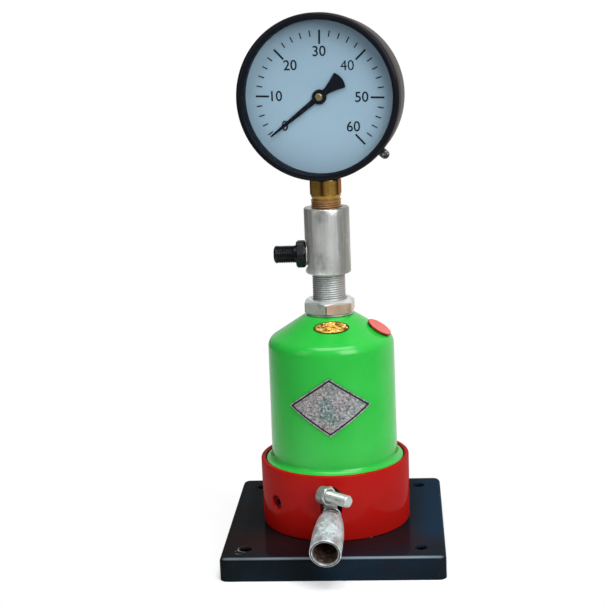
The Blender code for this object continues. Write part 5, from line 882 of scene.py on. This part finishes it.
def outlet():
    turned("outlet_washer_ring", hoop(7.6, 5.3, 14.3, 13.2, 0.3, 0.1), copper, OUTLET, 72, "copper", "outlet_washer")
    low, high, end, major = 14.6, 20.9, 35.9, 5.9
    rows, shape = thread(major, end - 1.6, high + 0.5, 1.5, 0.55, 10, hex_shape(17, 0.25))
    turned("outlet_union_shape", [(1.5, end), (3.4, end, 0.3), (4.9, end - 0.45, 0.7), (major, end - 1.6)] + rows +
        [(major, high), (8, high, 0.2), (10, high - 1.05, 0.1), (10, low + 1.05, 0.1), (8.2, low, 0.2), (5, low),
        (5, 8.3), (1.5, 8.3)], oxide, OUTLET, 96, "black_oxide", "outlet_union", shape=shape, sharp=26)


def stem():
    place = ROOT @ turn("Z", -9.5)
    low, high, major = 237.9, 247.8, 10
    rows, shape = thread(major, 234.2, 214.6, 1.5, 0.5)
    body = lathe("stem_shape", softened([(0, 257), (7.6, 257, 0.3), (7.6, 242), (9.3, 241.9), (9.3, low - 0.2, 0.1),
        (9.9, low - 0.4, 0.2), (9.8, low - 1.3, 0.3), (9.2, 235.2, 0.3), (8.9, 234.8, 0.2), (major, 234.5)] + rows +
        [(9.2, 214.1), (2, 214.1), (2, 250), (0, 250)]), brass_thread, place, 120, shape=shape, sharp=26)
    nut = lathe("stem_hex", softened([(0, high), (9.3, high, 0.1), (10.9, high - 0.8, 0.1), (10.9, low + 0.35, 0.1),
        (10.3, low, 0.1), (0, low)]), brass_bands, place @ turn("Z", -90), 120, shape=hex_shape(19, 0.12), sharp=26)
    shell = block("stem_block", (-11, -7, 252.2), (11, 13.5, 270.1), brass, place, 0.5)
    combine(shell, [block("stem_step", (-20, -20, 257), (20, 2.3, 290), brass, place, 0.1)])
    put(combine(body, [shell], "UNION", 26), "brass", "gauge_stem")
    put(nut, "brass")


# Gauge

def gauge_shell():
    profile = [(51.5, 11.8), (51.5, 8), (51.5, 0), (51.5, -8)] + arc(48.5, -14, 3, 0, -90, 8) + [(30, -17), (0, -17)]
    case = solid(lathe("case_shell", profile, gauge_black, GAUGE, 160, sharp=40), 1, 40)
    tools = [cylinder(8, 54, 45, GAUGE @ turn("X", 90), 48), cylinder(5.4, -15, -19, BLOW_HOLE, 40)]
    tools += [cylinder(2.4, -15, -19, place, 24) for place in CASE_SCREWS]
    put(combine(case, tools, sharp=40), "black_paint", "gauge_case")
    turned("bezel_ring", [(48.7, 15.2, 0.1), (49.1, 17.4, 0.2), (49.6, 18.4, 0.4), (50.9, 18.6, 0.5), (53.3, 17.8, 1.4),
        (53.3, 9, 0.3), (53, 8, 0.3), (51.8, 8), (51.8, 15.2)], bezel_black, GAUGE, 192, "black_paint", "gauge_bezel",
        steps=5, sharp=35)
    turned("glass_pane", rod(51.2, 14.9, 12.1, 0.2, 0.2), glass, GAUGE, 96, "clear_glass", "gauge_glass")
    turned("dial_disc", [(2.8, 7.9), (2.8, 8.7, 0.1), (49.3, 8.7, 0.2), (49.3, 7.9)], dial_paint, GAUGE, 144,
        "dial_white", "gauge_dial")
    turned("dial_rim", [(49.9, 11.8), (49.9, 8.78, 0.2), (49, 8.78, 0.2), (49, 9.6, 0.2), (49.5, 11.8)], gauge_black,
        GAUGE, 144, "black_paint")


def printing():
    """Scale marks and numbers, printed just proud of the dial."""
    mesh = bmesh.new()
    low, high = 8.69, 8.76

    def bar(angle, first, last, width):
        direction = Vector((cos(radians(angle)), sin(radians(angle))))
        side = Vector((-direction.y, direction.x)) * width / 2
        spots = [direction * first + side, direction * first - side, direction * last - side, direction * last + side]
        lower, upper = [[mesh.verts.new((p.x * MM, p.y * MM, level * MM)) for p in spots] for level in (low, high)]
        mesh.faces.new(upper)
        mesh.faces.new(lower[::-1])
        bridge(mesh, lower, upper)

    for step in range(1, 31):
        inner, width = (33.4, 1.25) if step % 5 == 0 else (38.4, 0.8)
        bar(223.2 - 9 * step, inner, 42.3, width)
    marks = closed_up(mesh, "dial_scale", ink, GAUGE)
    numbers = ((0, -23.6, -18), (10, -28.3, 1.2), (20, -18.6, 20.6), (30, 0.8, 29), (40, 18.7, 19.5), (50, 27.6, -0.6),
        (60, 21.6, -19.2))
    for value, x, y in numbers:
        curve = bpy.data.curves.new(f"number_{value}", "FONT")
        curve.body = str(value)
        curve.size = 9.2 * MM
        curve.extrude = 0.03 * MM
        curve.offset = (0.01 if value == 40 else 0.1) * MM  # a bolder stroke would fill the four
        curve.resolution_u = 6
        text = placed("number", curve, Matrix.Identity(4))
        bpy.context.view_layer.update()
        shape = evaluated(text)
        bpy.data.objects.remove(text)
        spots = [[v.co[k] for v in shape.vertices] for k in (0, 1)]
        shape.transform(Matrix.Translation((*(-(min(s) + max(s)) / 2 for s in spots), 0)))
        merge(marks, piece(f"dial_number_{value}", shape, ink, GAUGE @ move(x, y, 8.73)))
    put(marks, "black_paint")


def pointer_parts():
    place = GAUGE @ turn("Z", 217)
    half = [(41.3, 0.45), (30, 1.05), (4, 1.8), (-4, 2), (-7, 2.3), (-11, 3.5), (-17.3, 5.8)]
    outline = half + arc(-8, 0, 11, 148, 212, 10) + [(x, -y) for x, y in half[::-1]]
    hand = slab("pointer_hand", outline, 9.5, 10.1, pointer_black, place, 0.12)
    hub = lathe("pointer_boss", softened([(1.1, 10.35), (4.2, 10.35, 0.3), (4.8, 9.9, 0.2), (4.8, 9.4), (1.1, 9.4)],
        True), pointer_black, place, 64, True)
    put(merge(hand, hub), "black_paint", "pointer", body="hand")
    cap = lathe("pointer_button", softened([(0, 11.55), (0.8, 11.55, 0.1), (1, 11.7, 0.1), (1.9, 11.68, 0.3),
        (2.4, 11.1, 0.2), (2.4, 10.4, 0.1), (1.1, 10.4), (1.1, 11.2), (0, 11.2)]), dial_brass, place, 48)
    combine(cap, [driver_slot(3, 0.28, 11.3, 12.5, place @ turn("Z", -30))])
    put(cap, "brass", "pointer_cap", body="hand")


def seal_parts():
    distance, width = 55.7, 3
    place = GAUGE @ turn("Z", -42.5)
    middle = place @ move(distance, 0, 0)
    outline = [(51.8, width), (51.8, -width)] + arc(distance, 0, width, -90, 90, 16)
    lug = slab("seal_tab", outline, 5.5, 6.7, seal_metal, place, 0.2)
    put(combine(lug, [cylinder(1.8, 9, 3, middle, 24)]), "zinc_plate", "seal_lug")
    rows, shape = thread(1.4, 6.9, 2.4, 0.5, 0.18, 6)
    screw = lathe("seal_screw_shape", softened([(0, 8.7), (1.2, 8.9), (2.1, 8.9, 0.4), (2.4, 8.3, 0.2), (2.4, 7, 0.2),
        (1.4, 7)] + rows + [(1.1, 2), (0, 2)]), seal_metal, middle, 36, shape=shape)
    combine(screw, [driver_slot(3, 0.35, 8.1, 9.6, middle @ turn("Z", 55))])
    put(screw, "zinc_plate", "seal_screw")


def back_parts():
    turned("plug_shape", [(0, -14.5), (5, -14.5, 0.3), (6.8, -15.7, 0.2), (5, -15.7), (5, -17.3), (6.8, -17.3, 0.3),
        (6.2, -18.3, 0.5), (5, -18.5, 0.3), (0, -18.5)], rubber, BLOW_HOLE, 64, "black_rubber", "blowout_plug")
    rows, shape = thread(2, -9.7, -16.2, 0.7, 0.25, 6)
    profile = softened([(0, -9.3), (1.7, -9.3)] + rows + [(2, -17.3), (3.5, -17.3, 0.2), (3.4, -18.6, 0.8),
        (1.8, -19.6, 0.6), (0, -19.7)])
    for number, place in enumerate(CASE_SCREWS, 1):
        screw = lathe(f"case_screw_shape_{number}", profile, zinc, place, 40, shape=shape)
        combine(screw, [driver_slot(4, 0.4, -20.5, -18.7, place @ turn("Z", 20 * number))])
        put(screw, "zinc_plate", f"case_screw_{number}")


# Lever

def arm():
    """Forged rocker arm with its head and its lug, on which the socket is welded."""
    half, low = 5.5, ROLLER_DROP
    side = [(0, 4.5), (12, 3.4), (37.5, low + 4.5)] + arc(37.5, low, 4.5, 60, -60, 10) + [(37.5, low - 4.5), (12, -5.2),
        (0, -4.5)]
    bar = slab("arm_bar", side, -half, half, forged, FULCRUM, 0.8, 3)
    lug = block("arm_lug", (-4.2, -26.5, -11), (4.2, -14.4, 6), forged, LEVER, 0.9, 3)
    combine(lug, [block("arm_lug_face", (-20, -60, -60), (20, 60, 0.3), forged, SOCKET @ turn("X", 180), 0.01, 1)])
    combine(bar, [cylinder(7.5, half, -half, FULCRUM, 72, 0.7, 0.7),
        cylinder(4.5, 26, 0, LEVER @ move(0, 0, 2.5) @ turn("X", 90), 48),
        cylinder(5.7, 2, -4.5, CLAMP, 64, 0, 0.9), lug], "UNION")
    combine(bar, [block("arm_bevel", (-60, -9.3, 0), (60, 60, 60), forged, CLAMP, 0.01, 1)])
    combine(bar, [cylinder(4.3, 12, -12, FULCRUM, 48), cylinder(2.3, 12, -12, ROLLER, 32),
        block("arm_fork", (-3.3, 29.9, -17), (3.3, 51.5, 12), forged, LEVER, 0.01, 1),
        cylinder(4.3, 2, -3.5, CLAMP, 40), cylinder(2.8, 2, -5.3, SOCKET, 32)])
    put(bar, "turned_steel", "rocker_arm", body="lever")


def socket():
    end = 43.5
    rows, shape = thread(7.3, 13, 38, 1.6, -0.28)
    turned("socket_tube", [(0, 10.5), (6.6, 10.5, 0.6), (7.2, 12)] + rows + [(7.35, 38.4), (7.7, 41, 0.3),
        (8.25, end - 0.3, 0.2), (8.6, end, 0.2), (8.85, end - 0.05), (9.05, end - 0.45), (9.25, end - 0.05),
        (9.6, end, 0.2), (10.1, end - 0.6, 0.3), (10.1, 34), (10, 24, 2), (9.2, 15, 2), (8.4, 9.6, 0.5),
        (7.5, 8.6, 0.1), (7.9, 7.6, 0.4), (7.3, 5.4, 0.5), (6.3, 4.6, 0.1), (6.7, 3.6, 0.3), (6, 1, 0.6), (5.6, 0, 0.3),
        (2.5, 0), (2.5, -5), (0, -5)], socket_zinc, SOCKET, 96, "zinc_plate", "lever_socket", shape=shape, sharp=38,
        wobble=(0.35, 0.12), body="lever")
    bead = [(5.5 + 0.8 * cos(a), 0.5 + 0.7 * sin(a)) for a in (2 * pi * k / 12 for k in range(12))]
    turned("socket_weld", bead, socket_zinc, SOCKET, 96, "zinc_plate", sharp=70, wobble=(0.9, 0.3), body="lever")


def clamp_parts():
    top, end, major, gap = 2.9, 19.6, 4, 0.3
    rows, shape = thread(major, end - 0.9, top - 1, 1.25, 0.34, 9)
    turned("clamp_stud_shape", [(0, end - 0.15), (2.3, end, 0.3), (3.35, end - 0.1), (major, end - 0.9)] + rows +
        [(major, -2.9), (3.6, -3.2), (0, -3.2)], zinc, CLAMP, 72, "zinc_plate", "clamp_stud", shape=shape, sharp=40,
        wobble=(0.9, 0.06), body="lever")
    turned("clamp_nut_shape", [(4.6, top, 0.2), (5.8, top, 0.2), (6.9, top - 0.7, 0.1), (6.9, 0.9, 0.1),
        (5.9, gap, 0.2), (4.7, gap), (4.3, 0.7), (4.3, top - 0.5)], zinc, CLAMP, 72, "zinc_plate", "clamp_nut",
        shape=hex_shape(11.6, 0.15), sharp=26, wobble=(0.6, 0.08), body="lever")


def roller_parts():
    turned("roller_shape", hoop(7, 2.3, 3, -3, 0.5, 0.2), steel, ROLLER, 72, "turned_steel", "tappet_roller",
        body="roller")
    turned("roller_pin_shape", rod(2, 5.5, -5.5, 0.4, 0.4), steel, ROLLER, 40, "turned_steel", "roller_pin",
        body="lever")


for build in (base_tray, base_ring, ring_screws, tray_screws, bell, nameplate, oval, filler_parts, lock_parts, holder,
              connector, outlet, stem, gauge_shell, printing, pointer_parts, seal_parts, back_parts, arm, socket,
              clamp_parts, roller_parts):
    build()

CAD_LOOKS = {"turned_steel": steel, "zinc_plate": zinc, "cast_iron": iron, "brass": brass, "phosphor_bronze": bronze,
    "copper": copper, "black_rubber": rubber, "green_paint": green, "red_paint": red, "black_paint": black,
    "black_oxide": oxide, "red_plastic": cap_red, "gold_foil": gold, "etched_aluminium": plate_silver,
    "clear_glass": glass, "dial_white": dial_paint}
for entry in frame["record"]["subparts"]:
    cover(frame["nodes"][entry["node"]].data, CAD_LOOKS[entry["material_slot"]])


# Stage, lamps, camera; the stage and the lamps are placed in metres

def floor():
    """Flat paper; away from the object it shows as the plain white background."""
    look = Look("backdrop_paper", (0.93, 0.93, 0.93), 0.9, specular=0)
    look.vary(3, (0.94, 0.94, 0.94), 0.4, 0.6, 0.5)
    x, y = look.axes(look.place)[:2]
    outside = look.most(look.plus(look.off(x, 0), -0.071), look.plus(look.off(y, 0), -0.075))
    behind = look.times(look.ramp(y, -0.05, 0.3), look.ramp(x, -0.6, 0, 0.03, 1))
    dim = look.times(look.ramp(outside, 0.1, 0.3), look.ramp(behind, 0, 1, 0.9, 0))
    look.tint(dim, (0.2, 0.2, 0.21))
    look.roughen(0.85, 0.95, 20)
    look.bump(0.01, 300)
    look.done()
    white = look.plus(look.ramp(outside, 0, 0.006, 0, 0.87), look.ramp(outside, 0.006, 0.05, 0, 0.13))
    surface = look.mixed(look.times(look.shown(behind), white), look.shader.outputs[0], look.add("Emission").outputs[0])
    look.tree.links.new(surface, look.tree.nodes["Material Output"].inputs["Surface"])
    mesh = bmesh.new()
    mesh.faces.new([mesh.verts.new((x, y, -0.15 * MM)) for x, y in ((-6, -4), (6, -4), (6, 8), (-6, 8))])
    finished(mesh, "backdrop", look.material, Matrix.Identity(4), 60)


def world():
    """Soft sky, brighter above and to the right; plain white for the camera, and in reflections of what is behind."""
    sky = bpy.data.worlds.new("studio")
    bpy.context.scene.world = sky
    sky.use_nodes = True
    sky.node_tree.nodes.clear()
    nodes = Nodes(sky.node_tree)
    x, y, z = nodes.axes(nodes.add("TexCoord").outputs["Generated"])
    shades = nodes.add("ValToRGB", {"Fac": nodes.ramp(z, -1, 1)})
    for stop, position, colour in zip(shades.color_ramp.elements, (0.3, 0.9), ((0.3, 0.31, 0.33), (0.95, 0.97, 1))):
        stop.position, stop.color = position, (*colour, 1)
    soft = nodes.add("Background", {"Color": shades.outputs["Color"], "Strength": nodes.ramp(x, -1, 1, 0.14, 0.84)})
    plain = nodes.add("Background", {"Color": (1, 1, 1, 1), "Strength": 1})
    behind = nodes.ramp(nodes.plus(y, nodes.ramp(x, -1, 0.15, -0.85, 0.12)), 0.1, 0.9)
    nodes.add("OutputWorld", {"Surface": nodes.mixed(nodes.shown(behind), soft.outputs[0], plain.outputs[0])})


def lamp(name, spot, target, width, height, watts):
    data = bpy.data.lights.new(name, "AREA")
    data.shape = "RECTANGLE"
    data.size, data.size_y = width, height
    data.energy = watts
    aim = (Vector(target) - Vector(spot)).to_track_quat("-Z", "Y")
    placed(name, data, Matrix.Translation(spot) @ aim.to_matrix().to_4x4())


def camera():
    """The photograph's camera, as fitted to the object's points."""
    yaw, pitch, roll = 4.262, 11.725, 2.24
    focal, picture, sensor = 1404.27, 605, 36
    data = bpy.data.cameras.new("camera")
    data.sensor_width = sensor
    data.lens = focal / picture * sensor
    data.clip_start, data.clip_end = 0.05, 50
    spot = move(50.1, -915.66 + SHIFT, 355.91)
    bpy.context.scene.camera = placed("camera", data, spot @ turn("Z", yaw) @ turn("X", 90 - pitch) @ turn("Z", -roll))


floor()
world()
lamp("key", (0.75, -1, 0.95), (0, 0, 0.16), 0.8, 1, 15.5)
lamp("fill", (-0.95, -0.75, 0.7), (0, 0, 0.15), 0.5, 1, 1.8)
lamp("top", (0.08, -0.3, 1.3), (0, 0, 0.15), 1.1, 0.6, 11)
camera()
bpy.context.scene.view_settings.view_transform = "Standard"
